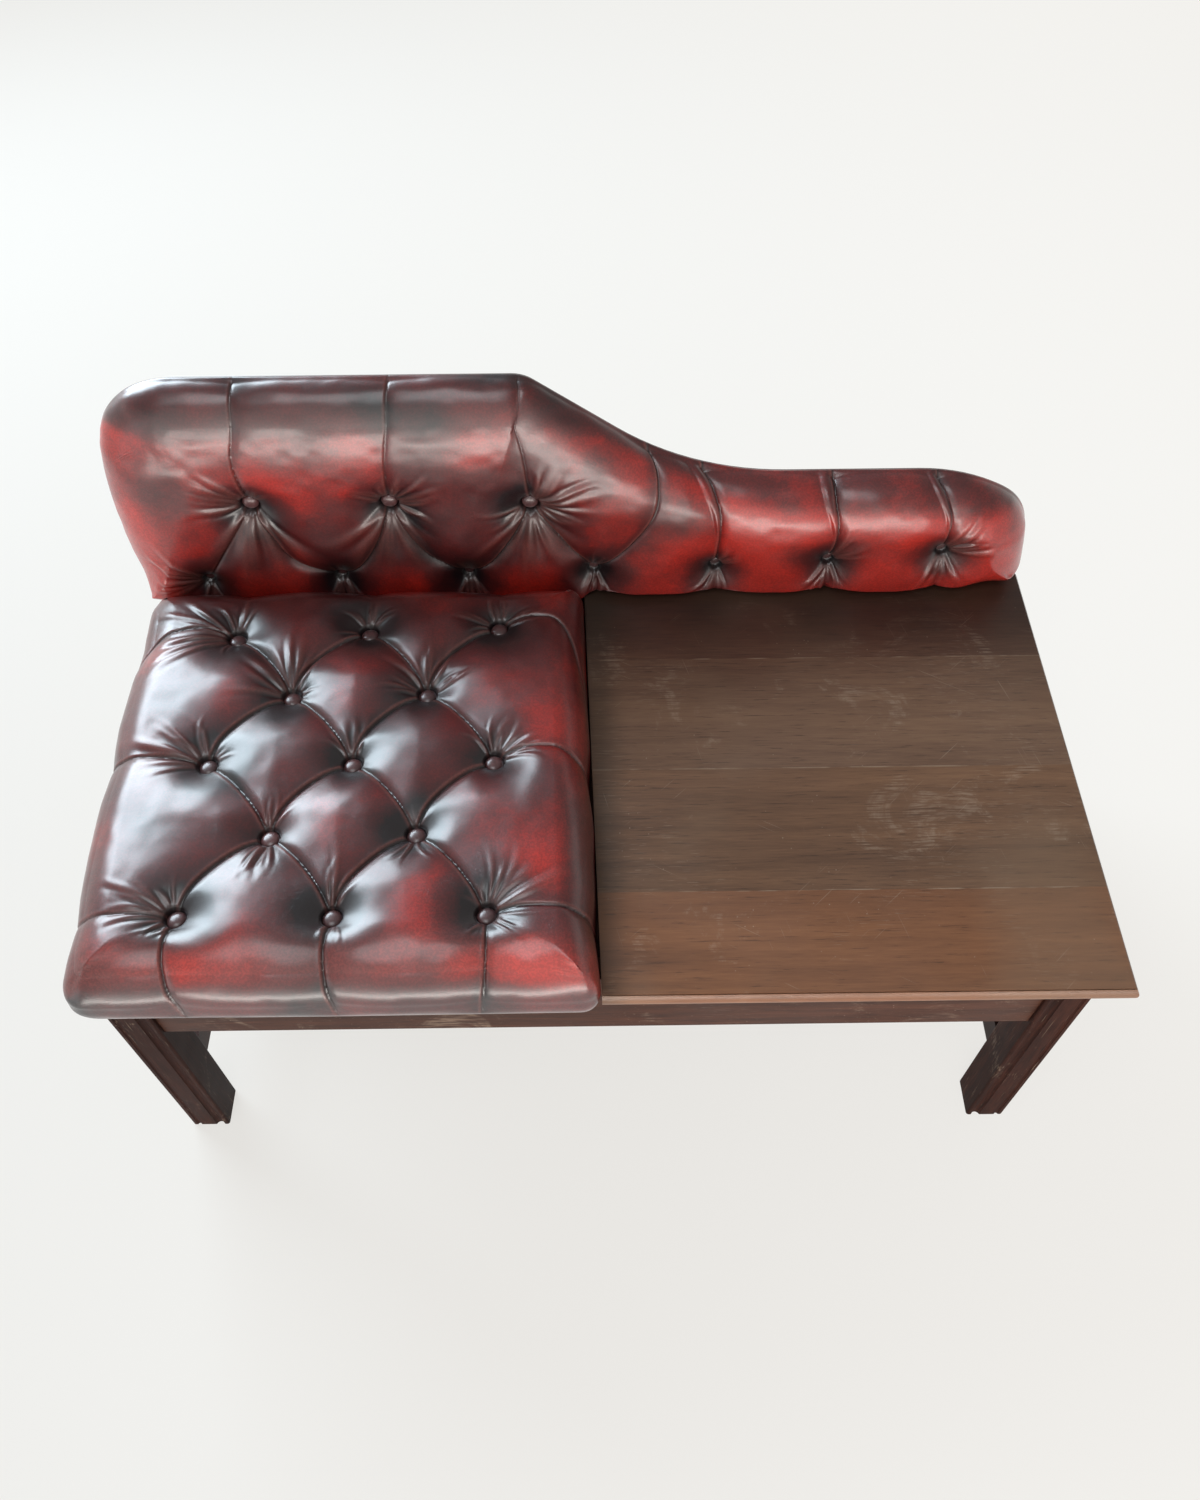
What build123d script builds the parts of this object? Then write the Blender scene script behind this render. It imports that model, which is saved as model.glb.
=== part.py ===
from build123d import *
import os
from math import asin, atan2, ceil, cos, degrees, radians, sin, sqrt

# Telephone bench: a mahogany frame with a buttoned leather seat on the left, a boarded table
# top on the right and one buttoned back that sweeps down from the seat to the table.
# Millimetres. X runs to the right, Y to the back, Z up. While it is drawn, X is 0 halfway
# between the legs, Y is 0 at the table's front edge and Z is 0 on the floor. The parts are
# written about the middle of the base of the overall box.

# ---- Frame ----
frame_length = 930.0           # over the outer faces of the legs
frame_depth = 491.0            # over the front and back faces of the legs
leg_size = 41.5
leg_height = 362.0
leg_corner_radius = 3.0
# Sunk lines down the shown faces of a leg: the cutter's radius, how far its middle
# stands outside the face, and how far it is from the leg's edge.
leg_outer_groove = (2.4, 0.8, 7.5)
leg_inner_groove = (5.2, 2.0, 10.0)
rail_height = 107.0
rail_thickness = 22.0
rail_setback = 5.7             # front and side rails behind the legs' outer faces
cross_rail_thickness = 32.0
cross_rail_height = 70.0
cross_rail_offset = -4.0       # middle of the cross rail, under the seam of seat and table
stretcher_height = 38.0
stretcher_thickness = 20.0
stretcher_floor_gap = 91.0
tenon_thickness = 8.0
tenon_length = 18.0
cross_tenon_length = 10.0
tenon_shoulder = 10.0          # rail above and below its tenon
tenon_clearance = 0.1
corner_block_reach = 70.0      # along each rail
corner_block_land = 28.0       # width of the brace where it meets a rail
corner_block_height = 26.0
corner_screw_inset = 10.0      # from the brace's end along the rail
corner_screw_length = 25.0
rail_block_size = 25.0
rail_block_length = 80.0
rail_block_inset = 70.0        # from the front or back rail

# ---- Table top ----
top_thickness = 17.0
top_overhang = 18.7            # past the legs at the front
top_side_overhang = 15.7       # past the legs at the right
board_joints = (104.5, 244.4, 388.0)   # glued joints, from the front edge
nose_rise = 3.2                # how far the rounded edge stands out past its two ends
nose_drop = 0.6                # top end of the rounded edge under the top's face
nose_inset = 0.4
quirk_width = 1.0              # sunk line between the top's face and its rounded edge
quirk_depth = 1.4

# ---- Seat ----
seat_board_thickness = 12.0
seat_front_left = (-473.0, -9.0)
seat_front_right = (3.5, -9.0)
seat_back_right = (-10.0, 467.0)
seat_back_left = (-470.0, 467.0)
seat_corner_radius = 36.0
seat_side_bow = 1.5
seat_board_inset = 7.0         # board's edge inside the widest line of the cushion
# height over the rails, and how far that section lies inside the widest one
seat_profile = ((0, 5.0), (10, 1.6), (26, 0.0), (42, 3.5), (53, 10.5),
                (61, 22.0), (65.5, 38.0), (68, 60.0), (70, 110.0), (71, 160.0))
seat_crown = 70.0              # general height of the cushion over the rails
seat_buttons = (((-374, 64), (-235, 63), (-97.5, 64)),
                ((-303, 146.5), (-166.5, 148)),
                ((-375, 229), (-234.5, 229), (-97, 230)),
                ((-304.5, 312), (-168, 314)),
                ((-372.5, 391), (-235, 397), (-98.5, 402)))
seat_tuft_depth = 26.0         # button's seat under the crown
seat_groove_depth = 12.0
seat_groove_width = 38.0       # half width, to where the pillow is level again
seat_edge_rise = 6.0           # a groove's rise from its button to the cushion's edge
pleat_reach = 100.0            # greatest side step between two buttons that a groove joins
groove_spare = 2.0             # how far a cutter is drawn above the form
clear_of_form = 30.0           # and how far its lid is above that
seat_tuft_reach = 50.0         # radius of a tuft's funnel

# ---- Back ----
back_board_thickness = 18.0
back_board_inset = 10.0        # board's edge inside the widest line of the pad
back_board_overlap = 72.0      # down behind the legs and the back rail
back_pad_depth = 36.0
back_left = -499.5
back_right = 481.0             # at the foot
back_top = 645.0
back_arm_top = 521.0           # over the table
back_left_arc = 560.0          # bowed left side
back_left_middle = 462.0
back_corner_radius = 90.0
back_shoulder_radius = 38.0
back_hollow_radius = 300.0
back_hollow_end = 205.0
back_slope = 36.0              # degrees
back_crest_start = 345.0       # where the arm's end begins to fall
back_crest_radius = 190.0
back_crest_turn = 60.0         # degrees above the right, where the nose follows
back_nose_radius = 70.0
back_nose_turn = 6.0
back_bottom_share = 0.3        # the bottom edge is drawn in less than the others
# distance in front of the board's front face, and how far that section is drawn in
back_profile = ((-18, 6.0), (-8, 1.5), (4, 0.0), (15, 2.5), (24, 8.0), (31, 17.0), (36, 32.0))
back_upper_buttons = ((-351, 515), (-208, 515), (-63, 512))
back_lower_buttons = ((-422, 405), (-276, 410), (-135, 410), (2, 415), (135, 419),
                      (258, 425), (380, 437))
back_tuft_depth = 22.0
back_tuft_reach = 45.0
back_groove_depth = 9.0
back_groove_width = 30.0
back_groove_rise = 3.0         # a groove's rise from its button to the pad's edge
back_top_pleats = ((-348, 650), (-203, 650), (-58, 650))          # over the upper buttons
back_arm_pleats = ((82, 556), (139, 535), (257, 526), (379, 525))  # over the last four lower ones

# ---- Leather, buttons, twine, linings and fasteners ----
leather = 2.0
tuft_floor = 9.5               # radius of the flat that a button sits on
button_radius = 8.0
button_edge = 2.0              # height of its straight edge
button_dome = 3.2              # rise of its dome over the edge
twine_radius = 1.0
twine_clearance = 0.3
knot_radius = 3.5
knot_height = 2.5
knot_clearance = 0.3
cloth = 1.0
cloth_clearance = 2.0
lining_inset = 3.0
lining_thickness = 1.5
nail_radius = 4.5
nail_dome = 2.4
nail_edge = 0.4                # height of a nail head's straight edge
nail_shank_radius = 0.8
nail_shank_length = 9.0
nail_inset = 15.0
nail_pitch = 38.0
screw_radius = 2.0
screw_head_radius = 4.0
screw_head_height = 3.0
screw_fit = 0.05
screw_sink = 3.0               # a head's recess below the face it is driven from
screw_hold = 8.4               # how far a screw goes up into the seat board or the top
back_screw_hold = 20.0         # and forwards into the frame
seat_clearance = 0.3           # between a soft piece and its neighbour
past = 5.0                     # how far a cutter goes past the face that it cuts

# ---- Worked out ----
leg_x = frame_length / 2                       # outer faces of the legs
front_y = top_overhang                         # front faces of the front legs
back_y = front_y + frame_depth                 # back faces of the back legs
rail_bottom = leg_height - rail_height
table_z = leg_height + top_thickness
table_right = leg_x + top_side_overhang
side_rail_x = leg_x - rail_setback             # outer face of a side rail
rail_inside_x = side_rail_x - rail_thickness
rail_inside_front = front_y + rail_setback + rail_thickness
rail_inside_back = back_y - rail_thickness     # the back rail is flush with the legs
pad_bottom = table_z + seat_clearance
board_top_z = leg_height + seat_board_thickness
crown_z = leg_height + seat_crown
tufts_z = crown_z - seat_tuft_depth
pad_front = back_y - back_pad_depth
tufts_y = pad_front + back_tuft_depth
board_rear = back_y + back_board_thickness
cross_rail_left = cross_rail_offset - cross_rail_thickness / 2
cross_rail_right = cross_rail_offset + cross_rail_thickness / 2

# The overall box: the pad's left, the table's right, the cushion's front and the nails behind.
box_right = table_right + nose_rise - nose_inset
box_front = seat_front_left[1] - seat_side_bow
box_back = board_rear + lining_thickness + nail_dome
to_box_middle = Pos(-(back_left + box_right) / 2, -(box_front + box_back) / 2, 0)


def save(name, shape):
    """Write one piece, moved so that the origin is in the middle of the overall box's base."""
    export_step(to_box_middle * shape, "parts/" + name + ".step")


def group(solids):
    return Compound(list(solids))


def block(x0, x1, y0, y1, z0, z1):
    return Pos((x0 + x1) / 2, (y0 + y1) / 2, (z0 + z1) / 2) * Box(x1 - x0, y1 - y0, z1 - z0)


def rod(base, direction, radius, length):
    """A round bar from base along direction."""
    face = Plane(origin=base, z_dir=direction) * Circle(radius)
    return extrude(face, length)


def grow(limits, amount):
    """The same block limits, larger on every side."""
    x0, x1, y0, y1, z0, z1 = limits
    return (x0 - amount, x1 + amount, y0 - amount, y1 + amount, z0 - amount, z1 + amount)


# ---------------------------------------------------------------- tenons
# Each is given by its block limits. The mortise is the same block with a clearance.
rail_tenon_z = (rail_bottom + tenon_shoulder, leg_height - tenon_shoulder)
stretcher_z = (stretcher_floor_gap, stretcher_floor_gap + stretcher_height)
stretcher_tenon_z = (stretcher_z[0] + tenon_thickness / 2, stretcher_z[1] - tenon_thickness / 2)
front_rail_middle = front_y + rail_setback + rail_thickness / 2
back_rail_middle = back_y - rail_thickness / 2
side_rail_middle = side_rail_x - rail_thickness / 2
stretcher_x = leg_x - leg_size / 2
leg_inside_x = leg_x - leg_size
leg_inside_front = front_y + leg_size
leg_inside_back = back_y - leg_size
half_tenon = tenon_thickness / 2
bench_middle_y = front_y + frame_depth / 2


def long_tenon(side, y):
    """Tenon of the front or back rail in the leg on one side."""
    ends = sorted((side * leg_inside_x, side * (leg_inside_x + tenon_length)))
    return (*ends, y - half_tenon, y + half_tenon, *rail_tenon_z)


def side_tenon(x, end, z):
    """Tenon of a side rail or stretcher in the leg at the front or back."""
    if end == "front":
        return (x - half_tenon, x + half_tenon, leg_inside_front - tenon_length, leg_inside_front, *z)
    return (x - half_tenon, x + half_tenon, leg_inside_back, leg_inside_back + tenon_length, *z)


def mortise(limits):
    return block(*grow(limits, tenon_clearance))


# ---------------------------------------------------------------- screws
def screw(head, direction, length):
    """A countersunk wood screw whose head's face is at head."""
    start = Vector(*head)
    along = Vector(*direction)
    cone_plane = Plane(origin=start, z_dir=along)
    cone = loft([cone_plane * Circle(screw_head_radius),
                 cone_plane.offset(screw_head_height) * Circle(screw_radius)])
    return cone + rod(start + along * screw_head_height, along, screw_radius,
                      length - screw_head_height)


def screw_hole(head, direction, length):
    """The room that a screw takes, with the recess over its head."""
    start = Vector(*head)
    along = Vector(*direction)
    recess = rod(start - along * screw_sink, along, screw_head_radius + screw_fit,
                 screw_sink + screw_fit)
    cone_plane = Plane(origin=start + along * screw_fit, z_dir=along)
    cone = loft([cone_plane * Circle(screw_head_radius + screw_fit),
                 cone_plane.offset(screw_head_height) * Circle(screw_radius + screw_fit)])
    shank = rod(start + along * screw_head_height, along, screw_radius + screw_fit,
                length - screw_head_height + screw_fit)
    return recess + cone + shank


# Upward screws through the blocks into the seat board and the table boards.
block_screw_length = corner_block_height - screw_sink + screw_hold
corner_block_middle = corner_block_reach / 2 - corner_block_land / 4
block_screw_z = leg_height - corner_block_height + screw_sink
rail_block_screw_z = leg_height - rail_block_size + screw_sink
rail_block_screw_length = rail_block_size - screw_sink + screw_hold
up = (0, 0, 1)
corner_places = {"front_left": (-1, 1), "front_right": (1, 1),
                 "back_left": (-1, -1), "back_right": (1, -1)}


def corner_origin(side, depth):
    """Inner corner of the rails: side is -1 left or 1 right, depth 1 front or -1 back."""
    return side * rail_inside_x, rail_inside_front if depth > 0 else rail_inside_back


def corner_block_screw(side, depth):
    x, y = corner_origin(side, depth)
    return (x - side * corner_block_middle, y + depth * corner_block_middle, block_screw_z)


rail_block_places = {}
for use, x in (("seat", cross_rail_left - rail_block_size / 2),
               ("table", cross_rail_right + rail_block_size / 2)):
    rail_block_places[use + "_front"] = (x, rail_inside_front + rail_block_inset)
    rail_block_places[use + "_back"] = (x, rail_inside_back - rail_block_inset - rail_block_length)


def rail_block_screw(place):
    x, y = rail_block_places[place]
    return (x, y + rail_block_length / 2, rail_block_screw_z)


seat_screw_heads = [corner_block_screw(*corner_places["front_left"]),
                    corner_block_screw(*corner_places["back_left"])]
table_screw_heads = [corner_block_screw(*corner_places["front_right"]),
                     corner_block_screw(*corner_places["back_right"])]
seat_inner_heads = [rail_block_screw("seat_front"), rail_block_screw("seat_back")]
table_inner_heads = [rail_block_screw("table_front"), rail_block_screw("table_back")]

seat_screw_holes = ([screw_hole(p, up, block_screw_length) for p in seat_screw_heads]
                    + [screw_hole(p, up, rail_block_screw_length) for p in seat_inner_heads])
table_screw_holes = ([screw_hole(p, up, block_screw_length) for p in table_screw_heads]
                     + [screw_hole(p, up, rail_block_screw_length) for p in table_inner_heads])

# Screws through the corner blocks into the side rails, level with each block's middle.
side_screw_z = leg_height - corner_block_height / 2
side_screws = []
for side, depth in corner_places.values():
    corner_x, corner_y = corner_origin(side, depth)
    y = corner_y + depth * (corner_block_reach - corner_screw_inset)
    slope_x = corner_x - side * corner_screw_inset
    side_screws.append(((slope_x, y, side_screw_z), (side, 0, 0)))
side_screw_holes = [screw_hole(p, d, corner_screw_length) for p, d in side_screws]

# Screws through the back board into the back legs and the back rail.
back_screw_length = back_board_thickness + back_screw_hold
back_screw_z = leg_height - back_board_overlap / 2
back_screw_heads = []
for x in (-leg_x + leg_size / 2, -leg_x / 2, -leg_x / 6, leg_x / 6, leg_x / 2, leg_x - leg_size / 2):
    back_screw_heads.append((x, board_rear - screw_fit, back_screw_z))
back_screw_holes = [screw_hole(p, (0, -1, 0), back_screw_length) for p in back_screw_heads]


# ---------------------------------------------------------------- wooden frame
def leg(side, depth):
    """A square leg with sunk lines down its shown faces and its mortises."""
    x0, x1 = sorted((side * leg_inside_x, side * leg_x))
    y0 = front_y if depth > 0 else leg_inside_back
    y1 = y0 + leg_size
    body = block(x0, x1, y0, y1, 0, leg_height)
    body = fillet(body.edges().filter_by(Axis.Z), leg_corner_radius)
    outer_y, inner_y = (y0, y1) if depth > 0 else (y1, y0)
    for edge, toward, (radius, outside, inset) in ((outer_y, depth, leg_outer_groove),
                                                   (inner_y, -depth, leg_inner_groove)):
        body -= rod((side * (leg_x + outside), edge + toward * inset, 0), up, radius, leg_height)
    if depth > 0:
        for edge, toward, (radius, outside, inset) in ((side * leg_x, -side, leg_outer_groove),
                                                       (side * leg_inside_x, side, leg_inner_groove)):
            body -= rod((edge + toward * inset, front_y - outside, 0), up, radius, leg_height)
    end = "front" if depth > 0 else "back"
    middle_y = front_rail_middle if depth > 0 else back_rail_middle
    body -= mortise(long_tenon(side, middle_y))
    body -= mortise(side_tenon(side * side_rail_middle, end, rail_tenon_z))
    body -= mortise(side_tenon(side * stretcher_x, end, stretcher_tenon_z))
    if depth < 0:
        body -= back_screw_holes
    return body


def long_rail(y, holes):
    """The front or back rail, by the middle of its thickness."""
    half = rail_thickness / 2
    body = block(-leg_inside_x, leg_inside_x, y - half, y + half, rail_bottom, leg_height)
    body += [block(*long_tenon(-1, y)), block(*long_tenon(1, y))]
    body -= mortise(cross_rail_tenon("front" if y < bench_middle_y else "back"))
    for hole in holes:
        body -= hole
    return body


def side_rail(side):
    x = side * side_rail_middle
    half = rail_thickness / 2
    body = block(x - half, x + half, leg_inside_front, leg_inside_back, rail_bottom, leg_height)
    body += [block(*side_tenon(x, "front", rail_tenon_z)), block(*side_tenon(x, "back", rail_tenon_z))]
    return body - side_screw_holes


def cross_rail_tenon(end):
    z = (leg_height - cross_rail_height + tenon_shoulder, leg_height - tenon_shoulder)
    x = (cross_rail_offset - half_tenon, cross_rail_offset + half_tenon)
    if end == "front":
        return (*x, rail_inside_front - cross_tenon_length, rail_inside_front, *z)
    return (*x, rail_inside_back, rail_inside_back + cross_tenon_length, *z)


def cross_rail():
    body = block(cross_rail_left, cross_rail_right, rail_inside_front, rail_inside_back,
                 leg_height - cross_rail_height, leg_height)
    return body + [block(*cross_rail_tenon("front")), block(*cross_rail_tenon("back"))]


def cross_stretcher_tenon(side):
    inside = stretcher_x - stretcher_thickness / 2
    ends = sorted((side * inside, side * (inside + cross_tenon_length)))
    return (*ends, bench_middle_y - half_tenon, bench_middle_y + half_tenon, *stretcher_tenon_z)


def side_stretcher(side):
    x = side * stretcher_x
    half = stretcher_thickness / 2
    body = block(x - half, x + half, leg_inside_front, leg_inside_back, *stretcher_z)
    body += [block(*side_tenon(x, "front", stretcher_tenon_z)),
             block(*side_tenon(x, "back", stretcher_tenon_z))]
    return body - mortise(cross_stretcher_tenon(side))


def cross_stretcher():
    inside = stretcher_x - stretcher_thickness / 2
    half = stretcher_thickness / 2
    body = block(-inside, inside, bench_middle_y - half, bench_middle_y + half, *stretcher_z)
    return body + [block(*cross_stretcher_tenon(-1)), block(*cross_stretcher_tenon(1))]


def corner_plan(side, depth, points):
    """A flat shape in a corner of the rails, its points given along the two rails."""
    x, y = corner_origin(side, depth)
    return make_face(Polyline([(x - side * u, y + depth * v) for u, v in points], close=True))


def corner_block(side, depth):
    """A diagonal brace between two rails."""
    far, near = corner_block_reach, corner_block_reach - corner_block_land
    face = corner_plan(side, depth, [(0, near), (near, 0), (far, 0), (0, far)])
    body = extrude(Pos(0, 0, leg_height - corner_block_height) * face, corner_block_height, dir=up)
    return body - side_screw_holes - seat_screw_holes - table_screw_holes


def rail_block(place):
    x, y = rail_block_places[place]
    half = rail_block_size / 2
    body = block(x - half, x + half, y, y + rail_block_length, leg_height - rail_block_size, leg_height)
    return body - seat_screw_holes - table_screw_holes


# ---------------------------------------------------------------- table top
def edge_profile(plane, rear, sunk_line):
    """Section of the top from rear to its rounded edge near 0, with or without a sunk line."""
    nose_top = table_z - nose_drop
    nose = ThreePointArc((nose_inset, leg_height),
                         (nose_inset - nose_rise, (leg_height + nose_top) / 2),
                         (nose_inset, nose_top))
    points = [(nose_inset, nose_top), (nose_inset + nose_drop, table_z)]
    if sunk_line:
        floor = table_z - quirk_depth
        behind = nose_inset + quirk_width
        points = [(nose_inset, nose_top), (nose_inset, floor), (behind, floor), (behind, table_z)]
    points += [(rear, table_z), (rear, leg_height), (nose_inset, leg_height)]
    return plane * make_face([nose, Polyline(points)])


def table_boards():
    """The moulded top, cut along its glued joints from front to back.

    Its left end follows the side of the cushion.
    """
    rear = back_y - seat_clearance
    lead = Vector(*seat_back_right) - Vector(*seat_front_right)
    step = seat_side_bow + seat_clearance

    def left_end(y):
        return seat_front_right[0] + step + lead.X * (y - seat_front_right[1]) / lead.Y

    far = table_right + past
    plan = make_face(Polyline((left_end(-past), -past), (far, -past), (far, rear),
                              (left_end(rear), rear), close=True))
    top = extrude(Pos(0, 0, leg_height) * plan, top_thickness, dir=up)
    front_plane = Plane(origin=(-frame_length, 0, 0), x_dir=(0, 1, 0), z_dir=(1, 0, 0))
    right_plane = Plane(origin=(table_right, -frame_depth, 0), x_dir=(-1, 0, 0), z_dir=(0, 1, 0))
    top &= extrude(edge_profile(front_plane, rear + past, True), frame_length * 2, dir=(1, 0, 0))
    top &= extrude(edge_profile(right_plane, frame_length, False), frame_depth * 3, dir=(0, 1, 0))
    top -= table_screw_holes
    cuts = [-past, *board_joints, rear + past]
    boards = []
    for y0, y1 in zip(cuts, cuts[1:]):
        boards.append(top & block(left_end(rear) - past, far, y0, y1, leg_height - past,
                                  table_z + past))
    return boards


# ---------------------------------------------------------------- tuft and groove cutters
def shoulder(width, depth, skin):
    """The rounded side of a pillow: an arc that is level at width and sinks to depth at 0.

    Gives the arc's height at 0, its middle point and its radius, skin inside the leather.
    """
    full = (width ** 2 + depth ** 2) / (2 * depth)
    radius = max(full - skin, width)
    low = depth - full + sqrt(radius ** 2 - width ** 2)
    angle = radians((90 + degrees(atan2(low - depth + full, -width))) / 2)
    middle = (width + radius * cos(angle), depth - full + radius * sin(angle))
    return low, middle, depth - skin


def groove(start, end, outward, width, depth, skin):
    """Cutter with two rounded sides that leaves a sunk line from start to end."""
    first, last, out = Vector(*start), Vector(*end), Vector(*outward)
    along = last - first
    plane = Plane(origin=first, x_dir=out.cross(along), z_dir=along)
    low, middle, level = shoulder(width, depth, skin)
    sides = [ThreePointArc((s * width, level), (s * middle[0], middle[1]), (0, low)) for s in (-1, 1)]
    lid_level = level + clear_of_form
    lid = Polyline((-width, level), (-width, lid_level), (width, lid_level), (width, level))
    return extrude(plane * make_face(sides + [lid]), along.length)


def tuft(floor, outward, reach, depth, skin):
    """Cutter for the funnel round a button, from the flat that the button sits on."""
    plane = Plane(origin=floor, z_dir=outward)
    width = reach - tuft_floor
    low, middle, level = shoulder(width, depth, skin)
    side = ThreePointArc((tuft_floor, low), (tuft_floor + middle[0], middle[1]), (reach, level))
    lid_level = level + clear_of_form
    rest = Polyline((reach, level), (reach, lid_level), (0, lid_level), (0, low),
                    (tuft_floor, low))
    profile = Plane.XZ * make_face([side, rest])
    return plane.location * revolve(profile, Axis.Z)


# ---------------------------------------------------------------- seat
def four_sided(inset, z, extra_back=0.0):
    """Plan of the cushion: its four corners, rounded, with slightly bowed sides."""
    corners = [(seat_front_left, 1, 1), (seat_front_right, -1, 1),
               (seat_back_right, -1, -1), (seat_back_left, 1, -1)]
    points = [Vector(p[0] + sx * inset, p[1] + sy * inset + (extra_back if sy < 0 else 0), z)
              for p, sx, sy in corners]
    edges = []
    starts, ends = [], []
    for i, corner in enumerate(points):
        before = (points[i - 1] - corner).normalized()
        after = (points[(i + 1) % 4] - corner).normalized()
        first = corner + before * seat_corner_radius
        last = corner + after * seat_corner_radius
        middle = corner + (before + after) * seat_corner_radius * (1 - 1 / sqrt(2))
        edges.append(ThreePointArc(first, middle, last))
        starts.append(last)
        ends.append(first)
    for i, start in enumerate(starts):
        end = ends[(i + 1) % 4]
        across = (end - start).normalized()
        outward = Vector(across.Y, -across.X, 0)
        edges.append(ThreePointArc(start, (start + end) * 0.5 + outward * seat_side_bow, end))
    ordered = [edges[k // 2 + (4 if k % 2 else 0)] for k in range(8)]
    return make_face(ordered)


def seat_form(skin):
    """The buttoned cushion, or what lies inside its leather when skin is its thickness."""
    sections = []
    for height, inset in seat_profile:
        z = leg_height + height - (skin if height > seat_profile[2][0] else 0)
        sections.append(four_sided(inset + skin, z))
    form = loft(sections, ruled=True)
    floor_z = crown_z - seat_groove_depth
    cutters = []

    def sink(a, b, rise=0.0):
        cutters.append(groove((*a, floor_z), (*b, floor_z + rise), up, seat_groove_width,
                              seat_groove_depth + groove_spare, skin))

    for row, following in zip(seat_buttons, seat_buttons[1:]):
        for a in row:
            for b in following:
                if abs(a[0] - b[0]) < pleat_reach:
                    sink(a, b)
    for row in seat_buttons[::2]:
        sink(row[0], (seat_front_left[0] - past, row[0][1]), seat_edge_rise)
        sink(row[-1], (seat_front_right[0] + past, row[-1][1]), seat_edge_rise)
    for a in seat_buttons[0]:
        sink(a, (a[0], seat_front_left[1] - past), seat_edge_rise)
    for a in seat_buttons[-1]:
        sink(a, (a[0], seat_back_left[1] + past), seat_edge_rise)
    for row in seat_buttons:
        for x, y in row:
            cutters.append(tuft((x, y, tufts_z), up, seat_tuft_reach,
                                seat_tuft_depth + groove_spare, skin))
    for cutter in cutters:
        form -= cutter
    return form


# ---------------------------------------------------------------- back
slope_sin, slope_cos = sin(radians(back_slope)), cos(radians(back_slope))
crest_middle = (back_crest_start, back_arm_top - back_crest_radius)
nose_step = back_crest_radius - back_nose_radius
nose_middle = (crest_middle[0] + nose_step * cos(radians(back_crest_turn)),
               crest_middle[1] + nose_step * sin(radians(back_crest_turn)))
hollow_start = (back_hollow_end - back_hollow_radius * slope_sin,
                back_arm_top + back_hollow_radius * (1 - slope_cos))
shoulder_drop = back_shoulder_radius * (1 - slope_cos)
slope_length = (back_top - shoulder_drop - hollow_start[1]) / slope_sin
shoulder_x = hollow_start[0] - slope_length * slope_cos - back_shoulder_radius * slope_sin
left_arc_x = back_left + back_left_arc
corner_z = back_top - back_corner_radius
corner_x = left_arc_x - sqrt((back_left_arc - back_corner_radius) ** 2
                             - (corner_z - back_left_middle) ** 2)
corner_angle = degrees(atan2(corner_z - back_left_middle, corner_x - left_arc_x))


def arc_xz(middle, radius, first, last, y):
    """An arc in an upright plane, from angle first to angle last."""
    points = []
    for angle in (first, (first + last) / 2, last):
        points.append((middle[0] + radius * cos(radians(angle)), y,
                       middle[1] + radius * sin(radians(angle))))
    return ThreePointArc(*points)


def back_outline(inset, y, skin=0.0):
    """The back's outline seen from the front, drawn in by inset and then by a skin."""
    low = pad_bottom + inset * back_bottom_share + skin
    inset += skin
    low_angle = 180 + degrees(asin((back_left_middle - low) / (back_left_arc - inset)))
    arm_z = back_arm_top - inset
    top_z = back_top - inset
    corner = arc_xz((corner_x, corner_z), back_corner_radius - inset, corner_angle, 90, y)
    shoulder_arc = arc_xz((shoulder_x, back_top - back_shoulder_radius),
                          back_shoulder_radius - inset, 90, 90 - back_slope, y)
    hollow = arc_xz((back_hollow_end, back_arm_top + back_hollow_radius),
                    back_hollow_radius + inset, 270 - back_slope, 270, y)
    crest = arc_xz(crest_middle, back_crest_radius - inset, 90, back_crest_turn, y)
    nose = arc_xz(nose_middle, back_nose_radius - inset, back_crest_turn, back_nose_turn, y)
    side = arc_xz((left_arc_x, back_left_middle), back_left_arc - inset, low_angle, corner_angle, y)
    return make_face([
        corner,
        Line((corner_x, y, top_z), (shoulder_x, y, top_z)),
        shoulder_arc,
        Line(shoulder_arc @ 1, hollow @ 0),
        hollow,
        Line((back_hollow_end, y, arm_z), (back_crest_start, y, arm_z)),
        crest,
        nose,
        Line(nose @ 1, (back_right - inset, y, low)),
        Line((back_right - inset, y, low), side @ 0),
        side,
    ])


def back_form(skin):
    """The buttoned back pad, or what lies inside its leather when skin is its thickness."""
    sections = []
    for forward, inset in back_profile:
        y = back_y - forward + (skin if forward > back_profile[2][0] else 0)
        sections.append(back_outline(inset, y, skin))
    form = loft(sections, ruled=True)
    front = (0, -1, 0)
    floor_y = pad_front + back_groove_depth
    cutters = []

    def sink(a, b, rise=0.0):
        cutters.append(groove((a[0], floor_y, a[1]), (b[0], floor_y - rise, b[1]), front,
                              back_groove_width, back_groove_depth + groove_spare, skin))

    for upper, top in zip(back_upper_buttons, back_top_pleats):
        for lower in back_lower_buttons:
            if abs(lower[0] - upper[0]) < pleat_reach:
                sink(upper, lower)
        sink(upper, top, back_groove_rise)
    for x, z in back_lower_buttons:
        sink((x, z), (x, pad_bottom - past), back_groove_rise)
    for lower, top in zip(back_lower_buttons[-len(back_arm_pleats):], back_arm_pleats):
        sink(lower, top, back_groove_rise)
    for x, z in back_upper_buttons + back_lower_buttons:
        cutters.append(tuft((x, tufts_y, z), front, back_tuft_reach,
                            back_tuft_depth + groove_spare, skin))
    for cutter in cutters:
        form -= cutter
    return form


def tongue(inset, rear, thickness):
    """The straight part below the shaped back, behind the legs and the back rail."""
    edge = pad_bottom + inset * back_bottom_share + past
    return block(-leg_x, leg_x, rear, rear + thickness, leg_height - back_board_overlap, edge)


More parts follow.
